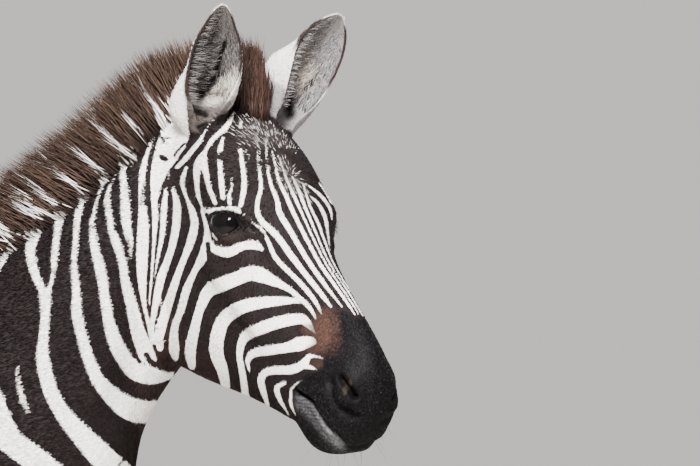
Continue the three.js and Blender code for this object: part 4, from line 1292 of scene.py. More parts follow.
coat_finish, tree, shader = new_material("zebra coat", Specular_IOR_Level=0.08)
ragged = arithmetic(tree, "MULTIPLY", arithmetic(tree, "SUBTRACT", noise(tree, 420.0), 0.5),
                    EDGE_RAGGED)
edge = arithmetic(tree, "ADD", attribute(tree, "stripe"), ragged)
picked = mixed(tree, ramp(tree, edge, -EDGE_SOFT, EDGE_SOFT),
               attribute(tree, "deep", "Color"),
               attribute(tree, "pale", "Color"))
bright = ramp(tree, attribute(tree, "shade"), 0.0, 1.0, 0.86, 1.06, soft=False)
patchy = ramp(tree, noise(tree, 14.0, 3.0), 0.3, 0.7, 0.95, 1.04)
bright = arithmetic(tree, "MULTIPLY", bright, patchy)
# bare looking skin on the muzzle is mottled
glossy = attribute(tree, "gloss")
mottled = ramp(tree, noise(tree, 330.0, 3.0), 0.36, 0.68, -0.7, 2.2)
bright = arithmetic(tree, "MULTIPLY", bright, arithmetic(
    tree, "ADD", arithmetic(tree, "MULTIPLY", mottled, glossy), 1.0))
colour = node(tree, "ShaderNodeVectorMath", {0: picked, "Scale": bright}, operation="SCALE")
tree.links.new(colour.outputs[0], shader.inputs["Base Color"])
tree.links.new(ramp(tree, glossy, 0.0, 1.0, 0.72, 0.56),
               shader.inputs["Roughness"])
grain = arithmetic(tree, "ADD", noise(tree, 900.0), arithmetic(
    tree, "MULTIPLY", noise(tree, 330.0, 3.0), arithmetic(tree, "MULTIPLY", glossy, 5.0)))
bump = node(tree, "ShaderNodeBump", {"Height": grain, "Strength": 0.15, "Distance": 0.0006})
tree.links.new(bump.outputs["Normal"], shader.inputs["Normal"])

# %% The long hair's finish
hair_finish, tree, shader = new_material("long hair", Roughness=0.65, Specular_IOR_Level=0.12)
# a lock's stripe value runs from the one at its root to the one half way up
climb = ramp(tree, attribute(tree, "along"), 0.0, 0.5, soft=False)
white_here = node(tree, "ShaderNodeMix",
                  {0: climb, 2: attribute(tree, "stripe"),
                   3: attribute(tree, "stripe above")}).outputs[0]
white_here = ramp(tree, white_here, -0.6, 0.6)
picked = mixed(tree, white_here, attribute(tree, "deep", "Color"),
               attribute(tree, "pale", "Color"))
held = ramp(tree, white_here, 0.0, 1.0, 0.0, 0.36)
reached = arithmetic(tree, "SUBTRACT", attribute(tree, "along"), held)
tipped = mixed(tree, ramp(tree, reached, 0.15, 0.5), picked,
               attribute(tree, "ends", "Color"))
bright = ramp(tree, attribute(tree, "shade"), 0.0, 1.0, 0.7, 1.2, soft=False)
colour = node(tree, "ShaderNodeVectorMath", {0: tipped, "Scale": bright}, operation="SCALE")
tree.links.new(colour.outputs[0], shader.inputs["Base Color"])
print("finishes:", coat_finish.name, "and", hair_finish.name)

# %% [markdown]
# ## The coat
# Short hair is felt as a nap, not as single hairs, so the coat is made of small flat tufts, each
# a closed sliver of four faces, lying along the hair's way and lifting a few degrees. The roots
# are scattered by area over plots of the skin, each plot unwrapped on its own so that a tuft
# can keep a small patch of the map at its root. One small geometry tree sets the same sliver
# on every root, turned, scaled and joined.

# %% One sliver and one lock


def shape_mesh(name, points, faces, flat, along):
    """A small shape to be repeated, with its own place on the map and the share along it."""
    mesh = new_mesh(name, points, faces)
    give(mesh, "flat", "FLOAT2", flat)
    give(mesh, "along", "FLOAT", along)
    return mesh


sliver = new_object("sliver", shape_mesh(
    "sliver", [(-0.12, -0.5, -0.3), (-0.12, 0.5, -0.3), (-0.05, 0, 1.0), (1.0, 0, 0.2)],
    [(0, 2, 1), (0, 1, 3), (1, 2, 3), (2, 0, 3)],
    [(0, 0.1), (0, 0.9), (0, 0.5), (1, 0.5)], [0, 0, 0, 1]))

LOCK_RINGS = [(-0.03, 1.0), (0.3, 0.95), (0.58, 0.75), (0.82, 0.42)]
SHORT_RINGS = [(-0.03, 1.0), (0.4, 0.85), (0.75, 0.5)]
LOCK_CURL = 2.2  # how far the tip bends aside, in widths


def lock_mesh(rings):
    """A bent lock: three sided rings that narrow to a point, curling away from its root's way."""
    points, flat, along = [], [], []
    for share, wide in rings:
        for k in range(3):
            turn = 2 * math.pi * k / 3
            points.append((share, wide * 0.5 * math.cos(turn),
                           wide * 0.5 * math.sin(turn) + LOCK_CURL * max(share, 0) ** 2))
            flat.append((max(share, 0), 0.5 + 0.4 * math.cos(turn)))
            along.append(max(share, 0))
    points.append((1.0, 0, LOCK_CURL))
    flat.append((1.0, 0.5))
    along.append(1.0)
    faces = ring_faces(len(rings), 3)
    last = 3 * (len(rings) - 1)
    faces += [(last + k, last + (k + 1) % 3, len(points) - 1) for k in range(3)]
    faces.append((0, 2, 1))
    return shape_mesh("lock", points, faces, flat, along)


lock = new_object("lock", lock_mesh(LOCK_RINGS))
short_lock = new_object("short_lock", lock_mesh(SHORT_RINGS))
print("sliver", len(sliver.data.polygons), "faces; lock", len(lock.data.polygons), "faces")

# %% The tree that sets hair on roots
PATCH = 0.003  # across each tuft's patch of the map


def hair_tree():
    """Roots in, joined hair out. Each root holds the way, the lift, the size and its colours."""
    tree = bpy.data.node_groups.new("hair on roots", "GeometryNodeTree")
    for name, kind in (("Roots", "NodeSocketGeometry"), ("Shape", "NodeSocketObject"),
                       ("Finish", "NodeSocketMaterial")):
        tree.interface.new_socket(name, in_out="INPUT", socket_type=kind)
    tree.interface.new_socket("Hair", in_out="OUTPUT", socket_type="NodeSocketGeometry")
    source = node(tree, "NodeGroupInput")

    def named(name, kind):
        made = node(tree, "GeometryNodeInputNamedAttribute", data_type=kind)
        made.inputs["Name"].default_value = name
        return made.outputs["Attribute"]

    turn = node(tree, "FunctionNodeAxesToRotation",
                {"Primary Axis": named("way", "FLOAT_VECTOR"),
                 "Secondary Axis": named("lift", "FLOAT_VECTOR")},
                primary_axis="X", secondary_axis="Z")
    shape = node(tree, "GeometryNodeObjectInfo", {"Object": source.outputs["Shape"]})
    placed = node(tree, "GeometryNodeInstanceOnPoints",
                  {"Points": source.outputs["Roots"], "Instance": shape.outputs["Geometry"],
                   "Rotation": turn.outputs["Rotation"], "Scale": named("size", "FLOAT_VECTOR")})
    real = node(tree, "GeometryNodeRealizeInstances", {"Geometry": placed.outputs["Instances"]})
    middle = node(tree, "ShaderNodeVectorMath",
                  {0: named("flat", "FLOAT_VECTOR"), 1: (0.5, 0.5, 0)}, operation="SUBTRACT")
    small = node(tree, "ShaderNodeVectorMath", {0: middle.outputs[0], "Scale": PATCH},
                 operation="SCALE")
    place = node(tree, "ShaderNodeVectorMath",
                 {0: small.outputs[0], 1: named("root on map", "FLOAT_VECTOR")},
                 operation="ADD")
    kept = node(tree, "GeometryNodeStoreNamedAttribute",
                {"Geometry": real.outputs["Geometry"], "Name": "OFBake",
                 "Value": place.outputs[0]}, data_type="FLOAT2", domain="CORNER")
    geometry = kept.outputs["Geometry"]
    for name in ("way", "lift", "size", "flat", "root on map"):
        gone = node(tree, "GeometryNodeRemoveAttribute", {"Geometry": geometry, "Name": name})
        geometry = gone.outputs["Geometry"]
    finished = node(tree, "GeometryNodeSetMaterial",
                    {"Geometry": geometry, "Material": source.outputs["Finish"]})
    node(tree, "NodeGroupOutput", {"Hair": finished.outputs["Geometry"]})
    return tree


on_roots = hair_tree()


def grown(name, roots, shape, finish):
    """Hair on a table of roots, as one finished mesh object."""
    mesh = bpy.data.meshes.new(name + "_roots")
    mesh.vertices.add(len(roots["at"]))
    set_points(mesh, roots["at"])
    for key in ("way", "lift", "size"):
        give(mesh, key, "FLOAT_VECTOR", roots[key])
    give(mesh, "root on map", "FLOAT2", roots["map"])
    for key in ("pale", "deep", "ends"):
        if key in roots:
            give(mesh, key, "FLOAT_COLOR", roots[key])
    for key in ("stripe", "stripe above", "gloss", "shade"):
        if key in roots:
            give(mesh, key, "FLOAT", roots[key])
    holder = new_object(name + "_roots", mesh)
    modifier = holder.modifiers.new("hair", "NODES")
    modifier.node_group = on_roots
    sockets = {item.name: item.identifier for item in on_roots.interface.items_tree
               if item.in_out == "INPUT"}
    modifier[sockets["Shape"]] = shape
    modifier[sockets["Finish"]] = finish
    graph = bpy.context.evaluated_depsgraph_get()
    result = bpy.data.meshes.new_from_object(holder.evaluated_get(graph))
    result.name = name
    bpy.data.objects.remove(holder)
    return new_object(name, result)


# %% Plots of the skin


def class_of_faces(mesh):
    """The plot each face of the skin belongs to."""
    centre = np.empty(len(mesh.polygons) * 3, np.float32)
    mesh.polygons.foreach_get("center", centre)
    centre = centre.reshape(-1, 3).astype(float)
    body, local = to_body(centre), to_head(centre)
    share = head_share(centre)
    right = body[:, 1] < 0
    kind = np.where(right, 4, 5)  # flanks
    kind[body[:, 0] < -330] = 6
    neck = body[:, 0] + 0.55 * (body[:, 2] - 1100) > 330
    kind[neck] = np.where(right, 2, 3)[neck]
    legs = body[:, 2] < 760
    kind[legs] = 7
    head = share > 0.5
    kind[head] = np.where(local[:, 1] < 0, 0, 1)[head]
    return kind


PLOTS = [("coat_right_head", 45000), ("coat_left_head", 34000),
         ("coat_right_neck", 44000), ("coat_left_neck", 30000),
         ("coat_right_flank", 30000), ("coat_left_flank", 30000),
         ("coat_haunches", 32000), ("coat_legs", 34000)]


def plot_of(chosen):
    """The chosen faces of the skin as a mesh of their own, unwrapped by their own shape."""
    bm = bmesh.new()
    bm.from_mesh(skin_mesh)
    bm.faces.ensure_lookup_table()
    bmesh.ops.delete(bm, geom=[bm.faces[i] for i in np.flatnonzero(~chosen)], context="FACES")
    mesh = bpy.data.meshes.new("plot")
    bm.to_mesh(mesh)
    bm.free()
    mesh.uv_layers.new(name="OFBake")
    holder = new_object("plot", mesh)
    bpy.context.view_layer.objects.active = holder
    holder.select_set(True)
    bpy.ops.object.mode_set(mode="EDIT")
    bpy.ops.mesh.select_all(action="SELECT")
    bpy.ops.uv.smart_project(angle_limit=math.radians(66), island_margin=0.002)
    bpy.ops.object.mode_set(mode="OBJECT")
    return holder


def read_points(mesh, name, width, field):
    found = np.empty(len(mesh.attributes[name].data) * width, np.float32)
    mesh.attributes[name].data.foreach_get(field, found)
    return found.reshape(-1, width).astype(float)


def read_ears(mesh):
    """What the skin knows about the ears: belongs, height, round and inside, by point."""
    return np.hstack([read_points(mesh, "ear place", 4, "color")[:, :3],
                      read_points(mesh, "ear inside", 1, "value")])


give(skin_mesh, "lid gap", "FLOAT", lid_gap)
give(skin_mesh, "ear place", "FLOAT_COLOR", ear_of_skin[:, :3])
give(skin_mesh, "ear inside", "FLOAT", ear_of_skin[:, 3])
give(skin_mesh, "face of skin", "FLOAT_VECTOR", normals_of(skin_mesh))
plot_class = class_of_faces(skin_mesh)
print("faces by plot:", np.bincount(plot_class).tolist())

# %% The way the hair lies
WHORL = (150, 0, 0)  # on the forehead between the eyes; hair runs away from it
LIFT = (7, 15)  # degrees a tuft stands off the skin, least and most


def ear_way(local):
    """The way the nearer ear points, as a scene direction for each point."""
    left = unit(EAR_LEAN[1]) @ TURN.T
    right = unit(EAR_LEAN[-1]) @ TURN.T
    return np.where(local[:, 1:2] > 0, left, right)


def lie_at(points, ear):
    """The way the hair lies, before it is laid flat on the skin."""
    local, body = to_head(points), to_body(points)
    share = head_share(points)[:, None]
    from_whorl = unit(local - np.array(WHORL, float)) + np.array((0.25, 0, -0.25))
    head = unit(from_whorl) @ TURN.T
    head += ear[:, :1] * (ear_way(local) - head)
    rear = smoothstep(0, -700, body[:, 0])
    trunk = np.stack([-np.ones(len(points)), np.zeros(len(points)), -0.35 - 0.6 * rear], 1)
    down = np.array((-0.12, 0, -1.0))
    leg = smoothstep(820, 640, body[:, 2])[:, None]
    trunk = unit(trunk + leg * (down - trunk))
    return unit(trunk + share * (head - trunk))


def tuft_size(points, ear):
    """Length and width in millimetres: least on the muzzle, most on the flanks."""
    local, body = to_head(points), to_body(points)
    share = head_share(points)
    length = 11 - 5 * smoothstep(760, 420, body[:, 2]) - 5.2 * smoothstep(200, 420, body[:, 0])
    face = 4.8 - 1.0 * smoothstep(40, 300, local[:, 0]) - 1.4 * smoothstep(300, 420, local[:, 0])
    length += share * (face - length)
    length += ear[:, 0] * (5.5 - length)
    return length, length * 0.13 + 0.14


# %% Scatter the roots over a plot


def scattered(mesh, count, density, seed):
    """Random roots by area and density, with what the skin knows about each of them."""
    mesh.calc_loop_triangles()
    corners = np.empty(len(mesh.loop_triangles) * 3, np.int32)
    loops = corners.copy()
    mesh.loop_triangles.foreach_get("vertices", corners)
    mesh.loop_triangles.foreach_get("loops", loops)
    corners, loops = corners.reshape(-1, 3), loops.reshape(-1, 3)
    places = points_of(mesh)
    a, b, c = places[corners.T]
    area = np.linalg.norm(np.cross(b - a, c - a), axis=1)
    weight = area * density(mesh)[corners].mean(1)
    chance = np.random.default_rng(seed)
    picked = np.searchsorted(np.cumsum(weight) / weight.sum(), chance.random(count))
    u, v = chance.random((2, count))
    over = u + v > 1
    u, v = np.where(over, 1 - u, u), np.where(over, 1 - v, v)
    share = np.stack([1 - u - v, u, v], 1)[:, :, None]
    flat = np.empty(len(mesh.uv_layers["OFBake"].data) * 2, np.float32)
    mesh.uv_layers["OFBake"].data.foreach_get("uv", flat)
    flat = flat.reshape(-1, 2)

    def across(values, table=corners):
        return (values[table[picked]] * share).sum(1)

    return {"at": across(places),
            "out": unit(across(read_points(mesh, "face of skin", 3, "vector"))),
            "map": across(flat, loops), "ear": across(read_ears(mesh)),
            "gap": across(read_points(mesh, "lid gap", 1, "value"))[:, 0],
            "chance": chance}


def rooted(chosen, count, density, seed):
    """Roots scattered over the chosen faces of the skin."""
    holder = plot_of(chosen)
    roots = scattered(holder.data, count, density, seed)
    bpy.data.objects.remove(holder)
    return roots


def short_hair_density(mesh):
    """Roots for each square millimetre, none where the skin is bare."""
    places = points_of(mesh)
    gap = read_points(mesh, "lid gap", 1, "value")[:, 0]
    ear = read_ears(mesh)
    length, width = tuft_size(places, ear)
    bare = smoothstep(1.0, 3.0, gap) * (1 - 0.9 * ear[:, 3] * ear[:, 0])
    local = one_side(to_head(places))
    open_hole = np.minimum(smoothstep(4, 8, reach_of(local, slit)),
                           smoothstep(2, 5, reach_of(local, mouth)))
    return bare * open_hole / (length * width)


def turned_about(vectors, axes, angles):
    """Vectors turned about unit axes square to them."""
    return (vectors * np.cos(angles)[:, None]
            + np.cross(axes, vectors) * np.sin(angles)[:, None])


MINGLE, MINGLED_LONGER = 0.9, 1.7
PEPPER = (-0.3, 0.8)  # stripe of a mingled tuft: middle and spread; above 0 it is pale


def max_of_ellipses(pixels, spots):
    return np.max([in_ellipse(pixels, one) for one in spots], axis=0)


def short_coat(roots):
    """Way, size and colours for the tufts of one plot."""
    chance, at, out, ear = roots["chance"], roots["at"], roots["out"], roots["ear"]
    count = len(at)
    way = lie_at(at, ear)
    way = unit(way - out * (way * out).sum(1)[:, None])
    way = turned_about(way, out, np.radians(chance.normal(0, 9, count)))
    lift = np.radians(chance.uniform(*LIFT, count))[:, None]
    length, width = tuft_size(at, ear)
    length = length * chance.uniform(0.75, 1.2, count) * MM
    width = width * chance.uniform(0.8, 1.25, count) * MM
    roots["way"] = way * np.cos(lift) + out * np.sin(lift)
    roots["lift"] = out * np.cos(lift) - way * np.sin(lift)
    roots["size"] = np.stack([length, width, width * 0.35], 1)
    middle = at + way * (0.45 * length)[:, None]
    stripe = stripe_at(middle, out) + chance.normal(0, 0.25, count)
    # on the forehead pale and dark tufts mingle
    brow = max_of_ellipses(to_pixels(near_side(at)[0]), FOREHEAD) * head_share(at)
    mingled = chance.random(count) < MINGLE * brow
    roots["size"][mingled, 0] *= MINGLED_LONGER
    roots["stripe"] = np.where(mingled, np.maximum(stripe, chance.normal(*PEPPER, count)), stripe)
    roots["pale"], roots["deep"], roots["gloss"] = colours_at(at, ear, roots["gap"])
    # the muzzle's dark hair is flecked with a few paler hairs
    fleck = (roots["gloss"] * chance.random(count) ** 5)[:, None] * MUZZLE_FLECK
    roots["pale"], roots["deep"] = roots["pale"] + fleck, roots["deep"] + fleck
    roots["shade"] = chance.random(count)
    return roots


coats = []
for number, (name, count) in enumerate(PLOTS):
    roots = short_coat(rooted(plot_class == number, count, short_hair_density, 10 + number))
    coats.append(grown(name, roots, sliver, coat_finish))
    tell(name, len(coats[-1].data.polygons), "faces")

# %% [markdown]
# ## Mane, tail, ears and feelers
# Long hair uses the same tree with a bent lock in place of the sliver. A zebra's mane stands
# straight up, leans a little back and is trimmed by its own growth to an even crest, ragged at
# the top. The white stripes of the neck run on into it for a third of its height and then
# give way to brown tips. The tail ends in a dark tuft, the ears are lined with pale down, and
# the lips and lids carry a few stiff hairs.

# %% Helpers for long hair


def faces_near(test):
    """The skin's faces whose centres pass a test."""
    centre = np.empty(len(skin_mesh.polygons) * 3, np.float32)
    skin_mesh.polygons.foreach_get("center", centre)
    return test(centre.reshape(-1, 3).astype(float))


def rows_at(rows, share):
    """Rows of a table read between their numbers."""
    return np.stack([np.interp(share, np.arange(len(rows)), column) for column in rows.T], 1)


def square_to(way, other):
    """The part of other that is square to way, one unit long."""
    return unit(other - way * (way * other).sum(1)[:, None])


def stand(roots, way, back, length, width):
    """Gives each lock its way, the way its back faces, and its size in metres."""
    roots["way"], roots["lift"] = way, square_to(way, back)
    roots["size"] = np.stack([length, width, width], 1)


def plain_colours(roots, root_paint, end_paint):
    """One colour for the roots of the locks and one for their ends."""
    count = len(roots["at"])
    roots["pale"] = roots["deep"] = np.tile(root_paint, (count, 1))
    roots["ends"] = np.tile(end_paint, (count, 1))
    roots["stripe"] = roots["gloss"] = np.zeros(count)
    roots["stripe above"] = roots["stripe"]
    roots["shade"] = roots["chance"].random(count)


# %% The mane
# root x, root z, tip x, tip z, half width, side; millimetres from the withers to the forelock
MANE_ROWS = [(205, 1218, 186, 1252, 7, 0), (262, 1250, 215, 1302, 12, 0),
             (325, 1290, 268, 1354, 15, 0), (378, 1334, 320, 1398, 16, 0),
             (421, 1366, 363, 1436, 17, 0), (475, 1404, 420, 1482, 17, 0),
             (523, 1446, 485, 1541, 17, 0), (566, 1480, 546, 1586, 17, -2),
             (606, 1498, 600, 1602, 16, -3), (636, 1512, 636, 1607, 17, -2),
             (655, 1523, 660, 1600, 17, -4), (667, 1516, 676, 1578, 16, -22),
             (675, 1506, 687, 1550, 12, -36)]
MANE_LOCKS = 6600  # on each side
MANE_BROWN, FORELOCK_BROWN = paint(62, 47, 39), paint(58, 40, 33)
FORELOCK_DARK, FORELOCK_SHADE = (242, 104, 9, 24), 0.6  # by the near ear's foot
MANE_LOCK_WIDE = (0.9, 1.9)
MANE_SWEEP = 3.5  # how far behind its root a lock's tip stands, in rows of the smoothed table
MANE_DARKER = 0.4  # white is narrower in the mane than in the neck, millimetres

MANE_REACH = 60  # from the mane's middle line to its outermost root, with room to spare

mane_rows = through(MANE_ROWS, 6)
mane_line = mane_rows[:, [0, 5, 1]]


def mane_density(mesh):
    body = to_body(points_of(mesh))
    share, away = nearest_on(mane_line, body)
    rows = rows_at(mane_rows, share)
    aside = abs(body[:, 1] - rows[:, 5])
    aside = (aside + smoothstep(636, 655, body[:, 0]) * (away - aside)) / rows[:, 4]
    return (smoothstep(1.75, 1.1, aside) * smoothstep(36, 27, away)
            * (0.4 + 0.6 * smoothstep(4, 20, share)))


def mane_side(name, sign, seed):
    """The mane's hair that grows on one side of its middle line."""
    def half(centres):
        body = to_body(centres)
        share, away = nearest_on(mane_line, body)
        return (away < MANE_REACH) & (sign * (body[:, 1] - rows_at(mane_rows, share)[:, 5]) > -3)

    roots = rooted(faces_near(half), MANE_LOCKS, mane_density, seed)
    chance, at, count = roots["chance"], roots["at"], MANE_LOCKS
    body = to_body(at)
    share, _ = nearest_on(mane_line, body)
    share = np.clip(share + chance.normal(0, 0.8, count), 0, len(mane_rows) - 1)
    rows = rows_at(mane_rows, share)
    aside = (body[:, 1] - rows[:, 5]) / rows[:, 4]
    tips = rows_at(mane_rows, np.clip(share - MANE_SWEEP, 0, None))[:, [2, 5, 3]]
    tips[:, :2] += 0.6 * (body - rows[:, [0, 5, 1]])[:, :2]
    way = SHIFT_AT + tips * MM - at
    length = np.linalg.norm(way, axis=1) * (1 - 0.3 * smoothstep(0.5, 1.5, abs(aside)))
    length *= chance.uniform(0.6, 1.04, count) ** 0.7
    way = unit(unit(way) + chance.normal(0, 0.1, (count, 3)))
    backward = np.array((-1.0, 0, 0)) + chance.normal(0, 0.9, (count, 3))
    stand(roots, way, backward, length, chance.uniform(*MANE_LOCK_WIDE, count) * MM)
    plain_colours(roots, DARK_HAIR, MANE_BROWN)
    in_frame = smoothstep(335, 395, body[:, 0])
    plain = body_stripes(to_body(at))
    wander = chance.normal(0, 0.9, count)
    for key, climb in (("stripe", 0.08), ("stripe above", 0.5)):
        _, twin = near_side(at + way * length[:, None] * climb)
        drawn = read_sheet(near_field, to_pixels(twin)) / PIXELS_PER_MM
        roots[key] = plain + in_frame * (drawn - plain) - MANE_DARKER + wander
    roots["pale"] = np.tile(WHITE_HAIR * 0.9, (count, 1))
    front = smoothstep(640, 665, body[:, 0])[:, None]
    lighter = chance.uniform(0.5, 1.4, count)[:, None] ** 1.6
    roots["ends"] = (MANE_BROWN + front * (FORELOCK_BROWN - MANE_BROWN)) * lighter
    roots["deep"] = (roots["deep"] + 0.35 * (MANE_BROWN - roots["deep"])
                     + 0.3 * front * (FORELOCK_BROWN - roots["deep"]))
    shadow = FORELOCK_SHADE * front * in_ellipse(to_pixels(at), FORELOCK_DARK)[:, None]
    roots["ends"], roots["deep"] = roots["ends"] * (1 - shadow), roots["deep"] * (1 - shadow)
    return grown(name, roots, lock, hair_finish)


manes = [mane_side("mane_right", -1, 30), mane_side("mane_left", 1, 31)]
tell("mane:", [len(piece.data.polygons) for piece in manes], "faces")

# %% The tail's tuft
# height, x, half length, half width
TAIL_ROWS = [(790, -823, 20, 19), (720, -824, 28, 29), (620, -824, 30, 32),
             (520, -820, 22, 24), (445, -816, 7, 8)]
TAIL_LOCKS = 2200
TAIL_ROOT_REACH = (790, 600)  # heights the locks start at
TAIL_LOCK_DROP = (170, 300)
TAIL_LOCK_WIDE = (1.8, 3.2)
TAIL_END = 447
TAIL_BROWN, TAIL_ENDS = paint(58, 46, 41), paint(40, 32, 30)

tail_rows = np.array(TAIL_ROWS, float)[::-1]


def dock_end(centres):
    """The skin round the lower end of the dock."""
    x, y, z = to_body(centres).T
    return (x < -780) & (abs(y) < 60) & (z > 780) & (z < 930)


def in_tail(height, turn, out):
    """A place in the tuft: its height, the turn round it and the share out from its middle."""
    x, long, wide = (np.interp(height, tail_rows[:, 0], tail_rows[:, k]) for k in (1, 2, 3))
    place = np.stack([x + out * long * np.cos(turn), out * wide * np.sin(turn), height], 1)
    return SHIFT_AT + place * MM


roots = rooted(faces_near(dock_end), TAIL_LOCKS, lambda mesh: np.ones(len(mesh.vertices)), 40)
chance = roots["chance"]
start = chance.uniform(0, 1, TAIL_LOCKS) ** 1.3
start = TAIL_ROOT_REACH[0] + start * (TAIL_ROOT_REACH[1] - TAIL_ROOT_REACH[0])
turn = chance.uniform(-math.pi, math.pi, TAIL_LOCKS)
end = np.maximum(start - chance.uniform(*TAIL_LOCK_DROP, TAIL_LOCKS), TAIL_END)
out = np.sqrt(chance.uniform(0.05, 1, TAIL_LOCKS))
roots["at"] = in_tail(start, turn, 0.72 * out)
way = in_tail(end, turn + chance.normal(0, 0.25, TAIL_LOCKS), 0.9 * out) - roots["at"]
length = np.linalg.norm(way, axis=1)
back = chance.normal(0, 1, (TAIL_LOCKS, 3))
stand(roots, unit(way), back, length, chance.uniform(*TAIL_LOCK_WIDE, TAIL_LOCKS) * MM)
plain_colours(roots, TAIL_BROWN, TAIL_ENDS)
tail_hair = grown("tail_hair", roots, lock, hair_finish)
print("tail:", len(tail_hair.data.polygons), "faces")

# %% Down in the ears
EAR_LOCKS = 5200
EAR_INWARDS = np.array((0.38, 0.83, 0.1))  # from the outer rim of either ear towards its fold


def ear_inside_faces(centres):
    place = ear_place(centres)
    return (place[:, 0] > 0.4) & (place[:, 3] > 0.5)


def down_density(mesh):
    _, height, around, inside = read_ears(mesh).T
    return (inside * smoothstep(0.1, 0.2, height) * smoothstep(1.0, 0.85, height)
            * (0.35 + abs(around)) * smoothstep(0.9, 0.8, abs(around)))


roots = rooted(faces_near(ear_inside_faces), EAR_LOCKS, down_density, 50)
chance, ear, count = roots["chance"], roots["ear"], EAR_LOCKS
# on the outer half of the cup the strands run in towards its fold, elsewhere they run up
inwards = smoothstep(-0.3, 0.4, ear[:, 2])[:, None]
way = ear_way(to_head(roots["at"])) * (1 - 0.8 * inwards) + EAR_INWARDS @ TURN.T * inwards
way = unit(way + 0.3 * roots["out"] + chance.normal(0, 0.16, (count, 3)))
length = chance.uniform(9, 20, count) * (1 - 0.55 * smoothstep(0.45, 0.9, ear[:, 1])) * MM
stand(roots, way, -roots["out"], length, chance.uniform(0.55, 0.95, count) * MM)
plain_colours(roots, NEAR_EAR_INSIDE_SHADED, NEAR_EAR_INSIDE_SHADED)
lining = ear_lining(roots["at"])
tint = chance.uniform(0.85, 1.6, count)[:, None]
roots["pale"] = roots["deep"] = lining * 1.05
roots["ends"] = np.minimum(lining * tint, 0.85)
ear_hair = grown("ear_hair", roots, short_lock, hair_finish)
print("ear down:", len(ear_hair.data.polygons), "faces")

# %% Lashes and feelers
LASHES, FEELERS = 110, 420
EYE_HAIR_REACH = 40  # millimetres from the globe's centre
FEELER_FORWARD = np.array((0.5, 0, -0.35))  # along, side, up


def round_eyes(centres):
    return np.linalg.norm(one_side(to_head(centres)) - eye_at, axis=1) < EYE_HAIR_REACH


def lash_density(mesh):
    gap = read_points(mesh, "lid gap", 1, "value")[:, 0]
    height = in_eye_plane(one_side(to_head(points_of(mesh))))[:, 1]
    high = height > in_eye_plane(opening)[:, 1].mean() + 2
    return smoothstep(2.4, 1.6, gap) * smoothstep(-0.4, 0.4, gap) * high


def muzzle_faces(centres):
    return to_head(centres)[:, 0] > 395


def feeler_density(mesh):
    along, side, up = to_head(points_of(mesh)).T
    chin = smoothstep(-108, -126, up) * smoothstep(400, 430, along)
    lips = smoothstep(-84, -96, up) * smoothstep(430, 450, along) * 0.6
    nose = smoothstep(452, 466, along) * 0.3
    return chin + lips + nose


feelers = []
for name, faces, density, count, long, wide, seed in (
        ("lashes", round_eyes, lash_density, LASHES, (5, 10), 0.4, 60),
        ("feelers", muzzle_faces, feeler_density, FEELERS, (7, 34), 0.26, 70)):
    roots = rooted(faces_near(faces), count, density, seed)
    chance = roots["chance"]
    way = unit(roots["out"] + FEELER_FORWARD @ TURN.T + chance.normal(0, 0.18, (count, 3)))
    length = chance.uniform(*long, count) * MM
    stand(roots, way, np.tile((0.0, 0.0, -1.0), (count, 1)), length, np.full(count, wide * MM))
    plain_colours(roots, LID, LID)
    feelers.append(grown(name, roots, short_lock, hair_finish))
print("lashes and feelers:", [len(piece.data.polygons) for piece in feelers], "faces")

# %% [markdown]
# ## Eyes
# A zebra's eye is large, dark brown and set to the side, with a wide level pupil. The clear
# front stands a little proud of the globe and is always wet, so it mirrors the room. The globe
# is modelled whole, as deep as a real one, with the iris told from the pupil by its own place.

# %% Eyes
EYE_RINGS, EYE_SIDES = 44, 64
CORNEA_HALF = 40  # degrees from the front
CORNEA_RISE = 1.3


def globe(sign):
    """A closed globe whose pole looks out of the lids, with two values for its colours."""
    turn = np.arange(EYE_SIDES) * 2 * math.pi / EYE_SIDES
    rows, flats = [eye_at + look * (EYE_RADIUS + CORNEA_RISE)], [(0.0, 0.0)]
    for k in range(1, EYE_RINGS):
        polar = math.pi * k / EYE_RINGS
        rise = CORNEA_RISE * float(smoothstep(CORNEA_HALF, 0.3 * CORNEA_HALF,
                                              math.degrees(polar)))
        radius = EYE_RADIUS + rise
        flat = np.stack([np.cos(turn), np.sin(turn)], 1) * math.sin(polar)
        rows += list(eye_at + radius * (look * math.cos(polar) + flat[:, :1] * across
                                        + flat[:, 1:] * upward))
        flats += [tuple(f) for f in flat]
    rows.append(eye_at - look * EYE_RADIUS)
    flats.append((0.0, 0.0))
    faces = [face[::-1] for face in ring_faces(EYE_RINGS - 1, EYE_SIDES, 1)]
    last = len(rows) - 1
    base = 1 + (EYE_RINGS - 2) * EYE_SIDES
    for i in range(EYE_SIDES):
        j = (i + 1) % EYE_SIDES
        faces += [(0, 1 + i, 1 + j), (last, base + j, base + i)]
    rows = np.array(rows) * (1, sign, 1)
    if sign < 0:
        faces = [face[::-1] for face in faces]
    mesh = new_mesh("eye", head_to_scene(rows), faces)
    give(mesh, "across", "FLOAT", np.array(flats)[:, 0])
    give(mesh, "upward", "FLOAT", np.array(flats)[:, 1])
    smooth(mesh, eye_finish)
    return mesh


PUPIL_WIDE, PUPIL_HIGH, IRIS = 0.36, 0.2, 0.62  # shares of the globe's radius
PUPIL_BLACK, IRIS_RING = (0.0010, 0.0010, 0.0014, 1), (0.0020, 0.0018, 0.0020, 1)
IRIS_DEEP, IRIS_PALE = (0.0022, 0.0016, 0.0016, 1), (0.0038, 0.0026, 0.0022, 1)
eye_finish, tree, shader = new_material("wet eye", Roughness=0.05, IOR=1.24)
x = attribute(tree, "across")
y = attribute(tree, "upward")


